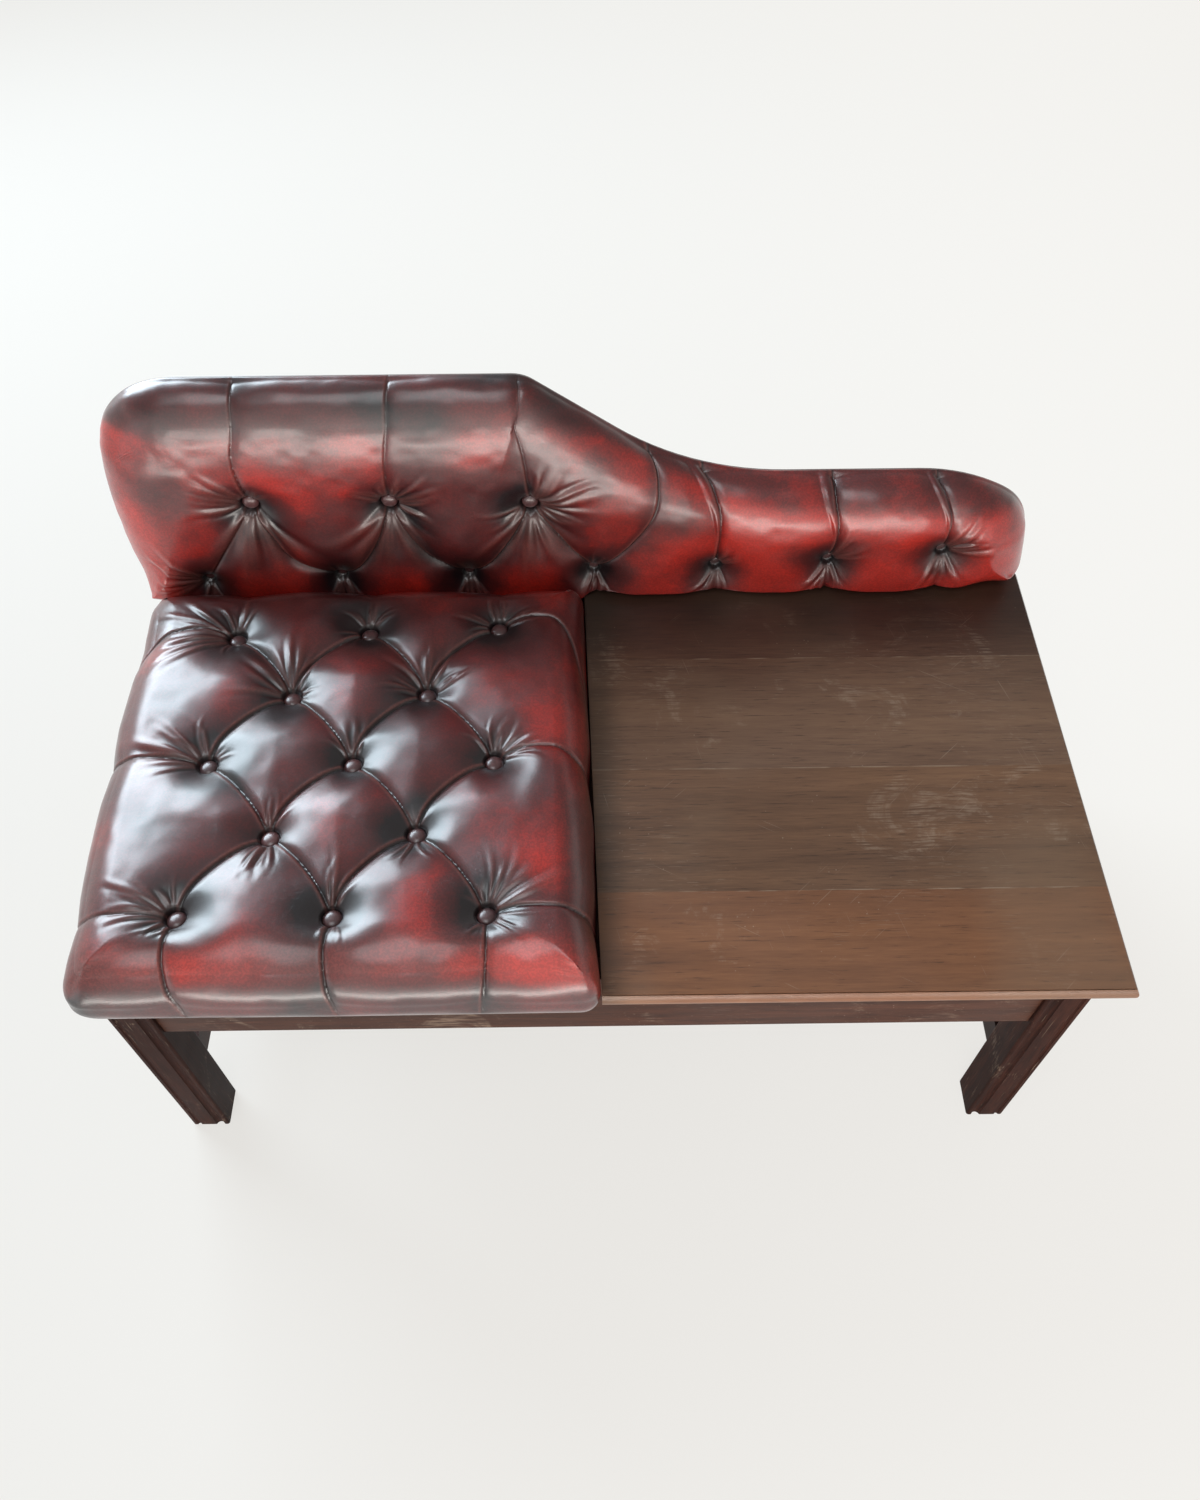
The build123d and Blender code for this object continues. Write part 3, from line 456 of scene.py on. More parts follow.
class Nodes:
    """A material or a world being wired. Most calls add a node and give its output.

    A texture's scale is about the number of its lumps in a metre.
    """

    def __init__(self, owner):
        owner.use_nodes = True
        self.owner = owner
        self.tree = owner.node_tree

    def put(self, socket, value):
        if isinstance(value, bpy.types.NodeSocket):
            self.tree.links.new(value, socket)
        else:
            socket.default_value = (*value, 1) if socket.type == "RGBA" else value

    def add(self, kind, inputs=(), **settings):
        """A new node itself, with values or other nodes' outputs at its inputs."""
        node = self.tree.nodes.new("ShaderNode" + kind)
        for key, value in settings.items():
            setattr(node, key, value)
        for key, value in dict(inputs).items():
            self.put(node.inputs[key], value)
        return node

    def set(self, **values):
        """Fills inputs of a material's own shader."""
        for key, value in values.items():
            self.put(self.tree.nodes[SHADER].inputs[key.replace("_", " ")], value)

    def place(self):
        return self.add("TexCoord").outputs["Object"]

    def axes(self, vector):
        return self.add("SeparateXYZ", {"Vector": vector}).outputs

    def stretched(self, vector, scale=(1, 1, 1), turn=(0, 0, 0), shift=(0, 0, 0)):
        return self.add("Mapping", {"Vector": vector, "Scale": scale, "Rotation": turn,
                                    "Location": shift}).outputs[0]

    def noise(self, vector, scale, detail, rough, warp=0.0):
        return self.add("TexNoise", {"Vector": vector, "Scale": scale, "Detail": detail,
                                     "Roughness": rough, "Distortion": warp}).outputs["Fac"]

    def cells(self, vector, scale):
        return self.add("TexVoronoi", {"Vector": vector, "Scale": scale}).outputs["Distance"]

    def math(self, operation, a, b=0.0):
        return self.add("Math", {0: a, 1: b}, operation=operation).outputs[0]

    def plus(self, a, b):
        return self.math("ADD", a, b)

    def times(self, a, b):
        return self.math("MULTIPLY", a, b)

    def gap(self, a, b):
        return self.math("ABSOLUTE", self.math("SUBTRACT", a, b))

    def span(self, value, low, high, start=0.0, end=1.0):
        return self.add("MapRange", {
            "Value": value, "From Min": low, "From Max": high, "To Min": start, "To Max": end},
            interpolation_type="SMOOTHSTEP").outputs[0]

    def ramp(self, value, stops):
        node = self.add("ValToRGB", {"Fac": value})
        points = node.color_ramp.elements
        while len(points) < len(stops):
            points.new(0.5)
        for point, (at, colour) in zip(points, stops):
            point.position = at
            point.color = (*colour, 1)
        return node.outputs["Color"]

    def mix(self, share, a, b):
        node = self.add("Mix", {"Factor": share}, data_type="RGBA")
        for key, value in (("A", a), ("B", b)):
            socket = [s for s in node.inputs if s.name == key and s.type == "RGBA"][0]
            self.put(socket, value)
        return [s for s in node.outputs if s.type == "RGBA"][0]

    def value(self, name):
        return self.add("Attribute", attribute_name=name).outputs["Fac"]

    def bump(self, height, strength, distance):
        return self.add("Bump", {"Height": height, "Strength": strength,
                                 "Distance": distance}).outputs[0]

    def surface(self, share, first, second, output):
        """Two shaders mixed by a share, as the tree's surface."""
        both = self.add("MixShader", {0: share, 1: first, 2: second})
        self.put(self.tree.nodes[output].inputs["Surface"], both.outputs[0])


def srgb(red, green, blue):
    """A colour as seen on a screen, 0 to 255, as the linear numbers a shader takes."""
    return tuple(((c / 255 + 0.055) / 1.055) ** 2.4 if c > 10.3 else c / 255 / 12.92
                 for c in (red, green, blue))


def scaled(numbers, share):
    return tuple(number * share for number in numbers)


def leather(name, bright, middle, deep, mapped=True):
    """Antiqued leather: dark where dye has gathered, red where it is rubbed.

    A mapped one reads that from its mesh's points, which also hold painted light and shade,
    with painted shade in creases and painted highlights on ridges.
    """
    n = Nodes(bpy.data.materials.new(name))
    spot = n.place()
    lumps = n.noise(spot, 14, 3, 0.5)
    spots = n.noise(spot, 120, 4, 0.65)
    patches = n.plus(n.times(lumps, 0.72), n.times(spots, 0.28))
    if mapped:
        tone = n.plus(n.value("shade"), n.span(patches, 0.32, 0.68, 0.13, -0.12))
        coat = n.span(n.value("rub_and_highlight"), 0.0, 0.8, 0.88, 0.3)
    else:
        tone = n.span(patches, 0.3, 0.7, 0.8, 0.3)
        coat = 0.85
    colour = n.ramp(tone, ((0.0, bright), (0.42, middle), (0.9, deep)))
    if mapped:
        # Pale where rubbed, as wear and as painted highlight; near black as painted shade in
        # creases, beside wrinkles and round buttons.
        colour = n.mix(n.times(n.value("rub_and_highlight"), 0.5), colour, srgb(178, 108, 98))
        colour = n.mix(n.times(n.value("dark"), 0.85), colour, scaled(deep, 0.2))
    pores = n.cells(spot, 1000)
    fine = n.noise(spot, 480, 3, 0.6)
    creased = n.noise(n.stretched(spot, turn=(0.4, 0.3, 0.5)), 95, 4, 0.65, 1.2)
    lines = n.math("MAXIMUM", n.span(n.gap(creased, 0.5), 0.0, 0.025), n.span(lumps, 0.42, 0.56))
    grain = n.plus(n.times(pores, 0.4), n.plus(n.times(fine, 0.5), n.times(lines, 0.3)))
    colour = n.mix(n.span(fine, 0.6, 0.42, 0, 0.28), colour, scaled(deep, 0.5))
    n.set(Base_Color=colour, Roughness=n.span(patches, 0.35, 0.65, 0.46, 0.38),
          Specular_IOR_Level=0.45, Coat_Weight=coat, Coat_Roughness=0.26,
          Normal=n.bump(grain, 0.4, 0.0004))
    return n.owner


def scratched(n, colour, spot, fine, along, pale):
    """Pale scratches that run four ways, and scuffs and specks."""
    # Each way's turn, how thin and short its scratches are, how few and how plain.
    for number, (turn, thin, short, start, share) in enumerate((
            (0.0, 1500.0, 60.0, 0.67, 0.22), (0.5, 760.0, 12.0, 0.72, 0.36),
            (-0.75, 800.0, 12.0, 0.73, 0.36), (1.3, 800.0, 14.0, 0.74, 0.3))):
        scale = [thin] * 3
        scale[along] = short
        turned = n.stretched(spot, turn=(0, 0, turn), shift=(number, number, 0))
        marks = n.noise(n.stretched(turned, tuple(scale)), 1.0, 1, 0.5, 0.2)
        where = n.noise(spot, 9 + 3 * number, 2, 0.5)
        marks = n.times(n.span(marks, start, start + 0.05), n.span(where, 0.5, 0.62))
        colour = n.mix(n.times(marks, share), colour, pale)
    scuffs = n.noise(n.stretched(spot, turn=(0, 0, 0.6)), 11, 6, 0.72, 0.8)
    scuffs = n.times(n.span(scuffs, 0.56, 0.66), n.span(fine, 0.42, 0.6))
    colour = n.mix(n.times(scuffs, 0.24), colour, pale)
    specks = n.span(n.cells(spot, 120), 0.1, 0.04)
    specks = n.times(specks, n.span(n.noise(spot, 30, 2, 0.5), 0.52, 0.66))
    return n.mix(n.times(specks, 0.45), colour, pale)


def used_and_shaded(n, colour, spot, joints):
    """A table's colour: greyed in places, pale at its joints, painted shadow below back and
    cushion.
    """
    grey = n.span(n.noise(spot, 4.2, 3, 0.5), 0.42, 0.62)
    colour = n.mix(n.times(grey, 0.35), colour, srgb(124, 100, 80))
    x, y, _ = n.axes(spot)
    for joint in joints:
        near = n.gap(y, joint)
        broken = n.noise(n.stretched(spot, (26, 200, 1)), 1.0, 3, 0.6)
        broken = n.span(broken, 0.44, 0.62, 0, 0.7)
        colour = n.mix(n.times(n.span(near, 0.0009, 0.0003), broken), colour,
                       srgb(146, 124, 104))
    # Painted shadow of the back over the table's rear, then of the cushion beside its edge.
    colour = n.mix(n.span(y, 0.11, 0.2, 0, 0.55), colour, srgb(46, 27, 20))
    return n.mix(n.span(x, 0.045, 0.012, 0, 0.45), colour, srgb(44, 42, 34))


def wood(name, light, middle, dark, along=0, shift=(0, 0, 0), gloss=0.42, worn=None,
         sheen=0.3, joints=()):
    """Wood with its grain along one axis: streaks and pores, worn marks and painted shadow where
    asked.
    """
    n = Nodes(bpy.data.materials.new(name))
    scale = [26.0, 26.0, 26.0]
    scale[along] = 1.6
    spot = n.place()
    lined = n.stretched(spot, tuple(scale), shift=shift)
    broad = n.noise(lined, 0.45, 3, 0.5, 0.6)
    streak = n.noise(lined, 3.0, 5, 0.62, 0.4)
    fine = n.noise(n.stretched(spot, scaled(scale, 8.0), shift=shift), 3.0, 3, 0.6)
    tone = n.plus(n.times(broad, 0.42), n.plus(n.times(streak, 0.33), n.times(fine, 0.25)))
    colour = n.ramp(tone, ((0.32, dark), (0.5, middle), (0.68, light)))
    pores = n.span(fine, 0.38, 0.3)
    colour = n.mix(n.times(pores, 0.5), colour, scaled(dark, 0.4))
    patches = n.noise(n.stretched(spot, shift=shift), 6, 3, 0.55)
    if worn:
        colour = scratched(n, colour, spot, fine, along, worn)
    if joints:
        colour = used_and_shaded(n, colour, spot, joints)
    n.set(Base_Color=colour, Roughness=n.span(patches, 0.3, 0.7, gloss - 0.06, gloss + 0.08),
          Specular_IOR_Level=sheen,
          Normal=n.bump(n.plus(fine, n.times(pores, -0.6)), 0.22, 0.0003))
    return n.owner


def plain(name, light, dark, scale, rough, metal=0.0, bump=0.3):
    """Any other stuff: specks in two tones."""
    n = Nodes(bpy.data.materials.new(name))
    spot = n.place()
    speck = n.noise(spot, scale, 4, 0.6)
    broad = n.noise(spot, scale / 12, 3, 0.5)
    tone = n.plus(n.times(speck, 0.5), n.times(broad, 0.5))
    n.set(Base_Color=n.ramp(tone, ((0.32, dark), (0.68, light))), Roughness=rough,
          Metallic=metal, Normal=n.bump(speck, bump, 0.0005))
    return n.owner


oxblood = leather("oxblood_leather", srgb(176, 37, 27), srgb(92, 24, 23), srgb(20, 9, 13))
button_skin = leather("button_leather", srgb(112, 70, 68), srgb(84, 50, 50), srgb(58, 34, 36),
                      mapped=False)
lining_skin = leather("lining_leather", srgb(70, 16, 18), srgb(48, 12, 13), srgb(30, 8, 9),
                      mapped=False)


def upholster(name, outline, tufts, roll, fall, depth, bulge, shade, to_world, seed,
              lift=None, wear=None):
    """A tufted pad, with its dye, wear and painted light and shade kept on its points."""
    sheet, places, outs, faces = pad_surface(outline, roll, fall, depth, bulge, CELL)
    sink, raised, dye, dark, rub_and_highlight = tufts.measure(sheet)
    a, b = sheet.T
    soft = noise(a, b, 44, seed) * 0.8 + noise(a, b, 15, seed + 1) * 0.25
    fade = 1 - smooth_step(places[:, 2] / depth, 0.8, 0.97)
    move = (raised - sink + soft * nearness(sink, 20)) * fade
    places[:, :2] += outs[:, :2] * move[:, None]
    up = np.clip(outs[:, 2], 0, 1) * lift(a, b) if lift else 0
    places[:, 2] -= outs[:, 2] * move + up
    if wear:
        rub_and_highlight = np.maximum(rub_and_highlight, wear(a, b))
    return add_mesh(name, settled(to_world(places)), faces, oxblood,
                    # The shares kept: dye with painted light and shade, painted shade in creases,
                    # and pale wear with painted highlights.
                    {"shade": dye + shade(a, b), "dark": dark, "rub_and_highlight": rub_and_highlight})


CELL = 1.15      # how far apart the leather's points are

# ---- seat

SEAT_TOP = 431.0            # its crowns
SEAT_UNDER = 362.2
SEAT_BUTTONS = 411.5        # the plane that its buttons lie on

seat_plan = softened(np.vstack([
    arc((-446.0, 14.5), 25, 180, 270), [(-235, -10.8), (-25, -10.0)],
    arc((-10.7, 4.0), 14, 270, 360), [(2.2, 30), (-4.1, 250), (-10.2, 466), (-14, 471)],
    [(-240, 472), (-474, 471), (-481, 446), (-480, 392), (-481.5, 298), (-479, 167),
     (-474, 80)]]), 5.0)

seat_rows = (
    ((-374.1, 63.5), (-235.0, 62.5), (-97.3, 63.5)),
    ((-303.0, 146.5), (-166.6, 148.0)),
    ((-375.0, 229.0), (-234.5, 229.0), (-97.0, 230.0)),
    ((-304.4, 312.0), (-168.0, 314.0)),
    ((-372.5, 391.0), (-234.8, 397.0), (-98.5, 402.0)),
)
SEAT_STEP = 90.0            # more than the step sideways from a button to its neighbours
seat_places = [place for row in seat_rows for place in row]

seat_tufts = Tufting(floor=21.0, reach=72.0, dome=9.5, dome_width=58.0)
for place in seat_places:
    seat_tufts.button(place)
# Pleats between neighbouring buttons, then from the outer buttons over the edges.
for near, far in zip(seat_rows[:-1], seat_rows[1:]):
    for a in near:
        for b in far:
            if abs(a[0] - b[0]) < SEAT_STEP:
                line = bowed(a, b, 11, 0.6) if b[0] > a[0] else bowed(a, b, -7)
                seat_tufts.pleat(line, 1.2, 1.0, 1.2, side=-1)
seat_edge_pleats = (
    (seat_rows[0][0], (-420, 66), (-470, 62), (-560, 62), 1, 0.35),
    (seat_rows[2][0], (-410, 236), (-450, 240), (-560, 232), 1, 0.45),
    (seat_rows[4][0], (-395, 404), (-455, 412), (-500, 360), 1, 0.55),
    (seat_rows[0][2], (-70, 72), (-20, 66), (60, 62), -1, 0.55),
    (seat_rows[2][2], (-70, 250), (-20, 246), (60, 214), -1, 0.5),
    (seat_rows[4][2], (-70, 424), (8, 420), (12, 330), -1, 0.55),
    (seat_rows[0][0], (-384, 30), (-380, -30), (-362, -75), 1, 0.7),
    (seat_rows[0][1], (-241, 30), (-240, -30), (-228, -75), 1, 0.7),
    (seat_rows[0][2], (-95, 30), (-97, -30), (-102, -75), 1, 0.7),
)
for a, first, second, b, side, middle in seat_edge_pleats:
    seat_tufts.pleat(bezier(a, first, second, b), 1.1, middle, 0.15, side=side)
for place in seat_rows[4]:
    seat_tufts.pleat(bowed(place, (place[0], 540), 0), 0.9, 0.5, 0.3, crisp=0.0)
# Wrinkles round each button: fans of two directions in degrees, count, reach and height.
seat_fans = (
    ((135, 186, 6, 62, 1.7), (95, 135, 4, 30, 1.4), (192, 262, 6, 30, 1.5)),
    ((62, 112, 5, 42, 1.6), (84, 88, 1, 84, 1.9), (235, 262, 4, 34, 1.4), (280, 300, 3, 34, 1.2)),
    ((18, 82, 8, 62, 1.7), (-62, -8, 6, 36, 1.8), (100, 130, 4, 30, 1.3), (235, 262, 3, 30, 1.2)),
    ((62, 118, 6, 34, 1.6), (232, 292, 8, 42, 1.7)),
    ((68, 112, 4, 26, 1.4), (240, 290, 5, 36, 1.7)),
    ((130, 202, 9, 66, 2.1), (92, 130, 4, 36, 1.6), (20, 60, 4, 26, 1.2)),
    ((60, 126, 8, 38, 1.9),),
    ((40, 132, 9, 38, 1.8), (2, 40, 5, 52, 1.7)),
    ((58, 140, 9, 58, 2.1), (150, 186, 3, 56, 1.5), (-20, 40, 4, 24, 1.2)),
    ((54, 130, 9, 52, 2.0), (150, 190, 4, 40, 1.4), (5, 40, 4, 40, 1.4)),
    ((142, 212, 9, 88, 2.3), (58, 120, 6, 44, 1.9), (215, 250, 3, 30, 1.2)),
    ((48, 130, 8, 34, 1.9), (180, 230, 4, 30, 1.3)),
    ((150, 205, 5, 36, 1.6), (60, 120, 6, 30, 1.7), (0, 42, 5, 46, 1.7)),
)
for number, (place, fan) in enumerate(each(seat_places, seat_fans)):
    seat_tufts.fan(place, *fan, seed=100 + number)


def seat_world(places):
    return places * (1, 1, -1) + (0, 0, SEAT_TOP)


def seat_lift(a, b):
    """The seat is fullest in its middle and lower toward each edge."""
    left, front = nearness(a + 471, 110) ** 2, nearness(b + 10, 90) ** 2
    right, rear = nearness(3 - a, 70) ** 2, nearness(471 - b, 90) ** 2
    return 2.0 - 10 * left - 6 * front - 5 * right - 13 * rear


def seat_shade(a, b):
    """Leather's darkness: dye in patches and more at left; painted shade at right and low in
    front.
    """
    # Painted shade at the right edge and low on the front, where the pad tucks under.
    return (0.36 + 0.14 * (1 - smooth_step(a, -420, -200)) - 0.05 * smooth_step(a, -220, -80)
            + 0.16 * smooth_step(a, -45, 0) + 0.22 * noise(a, b, 52, 71)
            - 0.14 * smooth_step(b, -24, -4) * (1 - smooth_step(b, 10, 60))
            + 0.3 * (1 - smooth_step(b, -34, -14)))


def seat_wear_and_highlight(a, b):
    """The front edge is rubbed pale and dull: wear, and a painted highlight along its roll."""
    return 0.22 * smooth_step(b, -30, -8) * (1 - smooth_step(b, 8, 60))


def seat_roll(a, b):
    """How far in from the outline the roll starts: farthest along the front."""
    if b > 440:
        return 36.0
    if b < 20:
        return 40.0 if a > -30 else 62.0
    return 40.0 if a < -200 else 36.0


seat_sides = split(seat_plan, ((-459, 0), (0, -6), (-11, 470), (-470, 470)))
seat = upholster("seat_leather", seat_sides, seat_tufts, seat_roll, fall=44.0,
                 depth=SEAT_TOP - SEAT_UNDER, bulge=1.2, shade=seat_shade,
                 to_world=seat_world, seed=7, lift=seat_lift, wear=seat_wear_and_highlight)
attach(seat, "root")
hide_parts("seat_cover", "seat_foam")

# ---- back

BACK_FRONT = 473.7          # its crowns
BACK_REAR = 527.4
UPPER_BUTTONS = 491.5       # the planes that its buttons lie on
LOWER_BUTTONS = 496.5

# The outline from the front: a tall end, then a sloping shoulder and a hollow down to the low
# arm, whose end is the nose. Turns are in degrees.
back_left, back_right, back_top, arm_top = -503.0, 481.0, 645.0, 521.0
low, arm_low = 367.0, 379.6
side_arc, side_middle, corner_radius = 560.0, 462.0, 90.0
shoulder_radius, hollow_radius, hollow_end, slope = 38.0, 300.0, 205.0, 36.0
crest_start, crest_radius, crest_turn, nose_radius, nose_turn = 345.0, 190.0, 60.0, 70.0, 6.0
side_x = back_left + side_arc
corner_z = back_top - corner_radius
corner_x = side_x - math.sqrt((side_arc - corner_radius) ** 2 - (corner_z - side_middle) ** 2)
corner_angle = math.degrees(math.atan2(corner_z - side_middle, corner_x - side_x))
slope_sin, slope_cos = math.sin(math.radians(slope)), math.cos(math.radians(slope))
hollow_x = hollow_end - hollow_radius * slope_sin
hollow_z = arm_top + hollow_radius * (1 - slope_cos)
drop = shoulder_radius * (1 - slope_cos)
shoulder_x = (hollow_x - (back_top - drop - hollow_z) / slope_sin * slope_cos
              - shoulder_radius * slope_sin)
low_angle = 180 + math.degrees(math.asin((side_middle - low) / side_arc))
crest = np.array([crest_start, arm_top - crest_radius])
turned = math.radians(crest_turn)
nose = crest + (crest_radius - nose_radius) * np.array([math.cos(turned), math.sin(turned)])
back_loop = softened(np.vstack([
    [(back_left + 120, low), (-8, low), (6, arm_low)],
    arc((back_right - 22, arm_low + 22), 22, 270, 360),
    arc(nose, nose_radius, nose_turn, crest_turn),
    arc(crest, crest_radius, crest_turn, 90),
    arc((hollow_end, arm_top + hollow_radius), hollow_radius, 270, 270 - slope),
    arc((shoulder_x, back_top - shoulder_radius), shoulder_radius, 90 - slope, 90),
    arc((corner_x, corner_z), corner_radius, 90, corner_angle),
    arc((side_x, side_middle), side_arc, corner_angle, low_angle - 1.2),
]), 5.0)

uppers = ((-351, 515.5), (-208, 515.5), (-63, 512.5))
lowers = ((-422, 406), (-275.5, 411), (-135, 411), (2, 416.5), (135, 420), (257.5, 426),
          (379.7, 438))

back_tufts = Tufting(floor=20.0, reach=62.0, dome=8.5, dome_width=52.0)
for place in uppers:
    back_tufts.button(place)
for place in lowers:
    back_tufts.button(place, 6.0)
# Pleats, from a button on: their points, their depth on the way and at the end, and the side
# on which the leather rolls in steeply.
back_pleats = (
    (uppers[0], ((-354, 553), (-355, 589), (-347, 640), (-342, 740)), 0.45, 0.15, -1, 0.8),
    (uppers[1], ((-205, 568), (-202, 605), (-197, 645), (-192, 740)), 0.4, 0.15, -1, 0.8),
    (uppers[2], ((-58, 566), (-55, 609), (-58, 640), (-60, 740)), 0.35, 0.15, -1, 0.7),
    (uppers[0], ((-379, 473), (-406, 432), lowers[0]), 1.0, 1.2, 1, 0.6),
    (uppers[0], ((-337, 480), (-328, 449), (-316, 433), (-298, 425), lowers[1]),
     1.0, 1.2, -1, 1),
    (uppers[1], ((-221, 478), (-235, 449), (-252, 426), lowers[1]), 1.0, 1.2, 1, 1),
    (uppers[1], ((-190, 470), (-174, 443), (-157, 431), lowers[2]), 1.0, 1.2, -1, 0.7),
    (uppers[2], ((-80, 476), (-95, 451), (-110, 430), lowers[2]), 1.0, 1.2, 1, 1),
    (uppers[2], ((-36, 475), (-23, 453), (-7, 434), lowers[3]), 1.0, 1.2, -1, 1),
    (lowers[3], ((24, 434), (46, 462), (66, 495), (78, 536), (82, 575), (84, 640)),
     0.7, 0.25, -1, 1),
    (lowers[4], ((136, 458), (138, 494), (138, 521), (131, 560), (126, 640)), 0.8, 0.25, -1, 1),
    (lowers[5], ((262, 459), (261, 492), (256, 526), (250, 600)), 0.8, 0.25, -1, 1),
    (lowers[6], ((380, 469), (383, 490), (381, 518), (371, 542), (360, 620)),
     0.8, 0.25, -1, 1),
)
for place, points, middle, end, side, crisp in back_pleats:
    line = eased_line((place, *points))
    back_tufts.pleat(line, 1.2, middle, end, side=side, crisp=crisp)
    if place in lowers[4:]:
        back_tufts.tuck(line[:-4], width=15.0, height=2.8)
for place in lowers:
    back_tufts.pleat(bowed(place, (place[0] + 2, 330), 0), 1.0, 0.9, 0.7, crisp=0.3)
# Wrinkles as on the seat: the high ones are broader, and those of the small low buttons start
# nearer.
back_fans = (
    ((112, 196, 9, 62, 1.5), (222, 306, 10, 84, 3.1), (40, 80, 3, 24, 1.0)),
    ((100, 170, 5, 34, 1.2), (222, 308, 12, 78, 3.1), (-30, 80, 8, 50, 1.5)),
    ((0, 74, 10, 66, 2.3), (228, 310, 12, 82, 3.1), (190, 225, 4, 40, 1.4), (-40, -5, 4, 46, 1.5)),
    ((120, 205, 10, 64, 1.7), (245, 300, 5, 34, 2.2)),
    ((60, 130, 5, 24, 1.5), (240, 312, 8, 42, 2.6)),
    ((50, 130, 5, 26, 1.5), (240, 312, 8, 42, 2.6)),
    ((50, 130, 5, 24, 1.5), (240, 305, 6, 42, 2.4)),
    ((20, 75, 5, 34, 1.8), (240, 300, 6, 40, 2.4)),
    ((20, 78, 6, 52, 1.8), (232, 300, 8, 46, 2.4)),
    ((5, 80, 8, 62, 2.3), (235, 300, 6, 46, 2.2)),
)
for number, (place, fan) in enumerate(each((*uppers, *lowers), back_fans)):
    back_tufts.fan(place, *fan, seed=500 + number, broad=1.5 if fan[-1] > 3 else 1.15,
                   start=8.0 if place in uppers else 4.0)


def back_world(places):
    return places[:, [0, 2, 1]] + (0, BACK_FRONT, 0)


def back_roll(a, b):
    """How far in from the outline the roll starts: least below, farthest along the top."""
    if b < 398:
        if a > 420:
            return 40.0
        return 16.0 if a < -430 else 11.0
    if a < -400 and b < 590:
        return 58.0
    if a > 400:
        return 54.0
    return 62.0 + 46.0 * smooth_step(b, 530, 630)


def gathered(a, b, places, below, spread, share):
    """Dye gathered a little below some buttons."""
    return sum(share * np.exp(-((a - x) ** 2 + (b - z + below) ** 2) / spread)
               for x, z in places)


def back_shade(a, b):
    """Dye most along the top and below the buttons and least low; painted light at left and on the
    arm.
    """
    height = b - np.interp(a, (-440, -20, 30, 120, 205, 400), (645, 645, 632, 566, 521, 516))
    rolled = smooth_step(height, -26, 2)
    patches = noise(a, b, 55, 83)
    low_red = (1 - smooth_step(b, 400, 455)) * smooth_step(patches, -0.9, 0.4)
    # Painted light: the left end, toward the lamps, is made lighter below its roll.
    painted_light_left = 1 - smooth_step(a, -490, -440)
    below = gathered(a, b, uppers, 34, 2400, 0.36) + gathered(a, b, lowers, 10, 1100, 0.24)
    # The arm is painted lighter too, from a = 60 to 160 on, as painted light.
    return (below + 0.28 + 0.32 * rolled + 0.08 * smooth_step(b, 490, 540) - 0.3 * low_red
            - 0.3 * painted_light_left * (1 - rolled) - 0.26 * smooth_step(a, 60, 160)
            + 0.24 * patches + 0.08 * noise(a, b, 21, 84))


back_sides = split(back_loop, ((-490, 380), (480, 380), (452, 487), (-470, 618)))
back = upholster("back_leather", back_sides, back_tufts, back_roll, fall=45.0,
                 depth=BACK_REAR - BACK_FRONT, bulge=0.8, shade=back_shade,
                 to_world=back_world, seed=31)
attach(back, "root")
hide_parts("back_cover", "back_foam")

# ---- buttons

BUTTON_SIDES = 32
# The rings of a button under its top, as shares of its radius and of its rise.
BUTTON_RINGS = ((0.25, 0.975), (0.5, 0.88), (0.72, 0.68), (0.88, 0.4), (0.97, 0.1), (1.0, -0.25),
                (0.97, -0.6), (0.85, -0.9))


def buttons(name, places, upright, floor, seed, radius=BUTTON_RADIUS, rise=4.2, tilt=5.0):
    """Domed buttons, each tipped a little, on a level or upright plane at floor."""
    rng = np.random.default_rng(seed)
    around = [2 * math.pi * k / BUTTON_SIDES for k in range(BUTTON_SIDES)]
    dome = [(0.0, 0.0, rise)]
    dome += [(radius * share * math.cos(angle), radius * share * math.sin(angle), rise * height)
             for share, height in BUTTON_RINGS for angle in around]
    pairs = [(k, (k + 1) % BUTTON_SIDES) for k in range(BUTTON_SIDES)]
    points, faces = [], []
    for a, b in places:
        top = len(points)
        tip = rng.uniform(-tilt, tilt, 2)
        turn = (Matrix.Rotation(math.radians(tip[0]), 3, "X")
                @ Matrix.Rotation(math.radians(tip[1]), 3, "Y"))
        for p in dome:
            x, y, z = turn @ Vector(p)
            points.append((a + x, floor - z, b + y) if upright else (a + x, b + y, floor + z))
        rings = [[top + 1 + ring * BUTTON_SIDES + k for k in range(BUTTON_SIDES)]
                 for ring in range(len(BUTTON_RINGS))]
        faces += [[top, rings[0][k], rings[0][j]] for k, j in pairs]
        faces += [[high[k], low[k], low[j], high[j]] for high, low in zip(rings, rings[1:])
                  for k, j in pairs]
        faces.append(rings[-1][::-1])
    piece = add_mesh(name, settled(points), faces, button_skin)
    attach(piece, "root")
    return piece


seat_tops = buttons("seat_button_domes", seat_places, False, SEAT_BUTTONS, seed=3)
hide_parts("seat_buttons")
back_tops = buttons("back_button_domes", uppers, True, UPPER_BUTTONS, seed=4, radius=8.6)
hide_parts("back_buttons")
back_feet = buttons("back_button_low_domes", lowers, True, LOWER_BUTTONS, seed=5, radius=6.4,
                    rise=3.0)
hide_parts("back_buttons")

# ---- frame, table and hidden parts

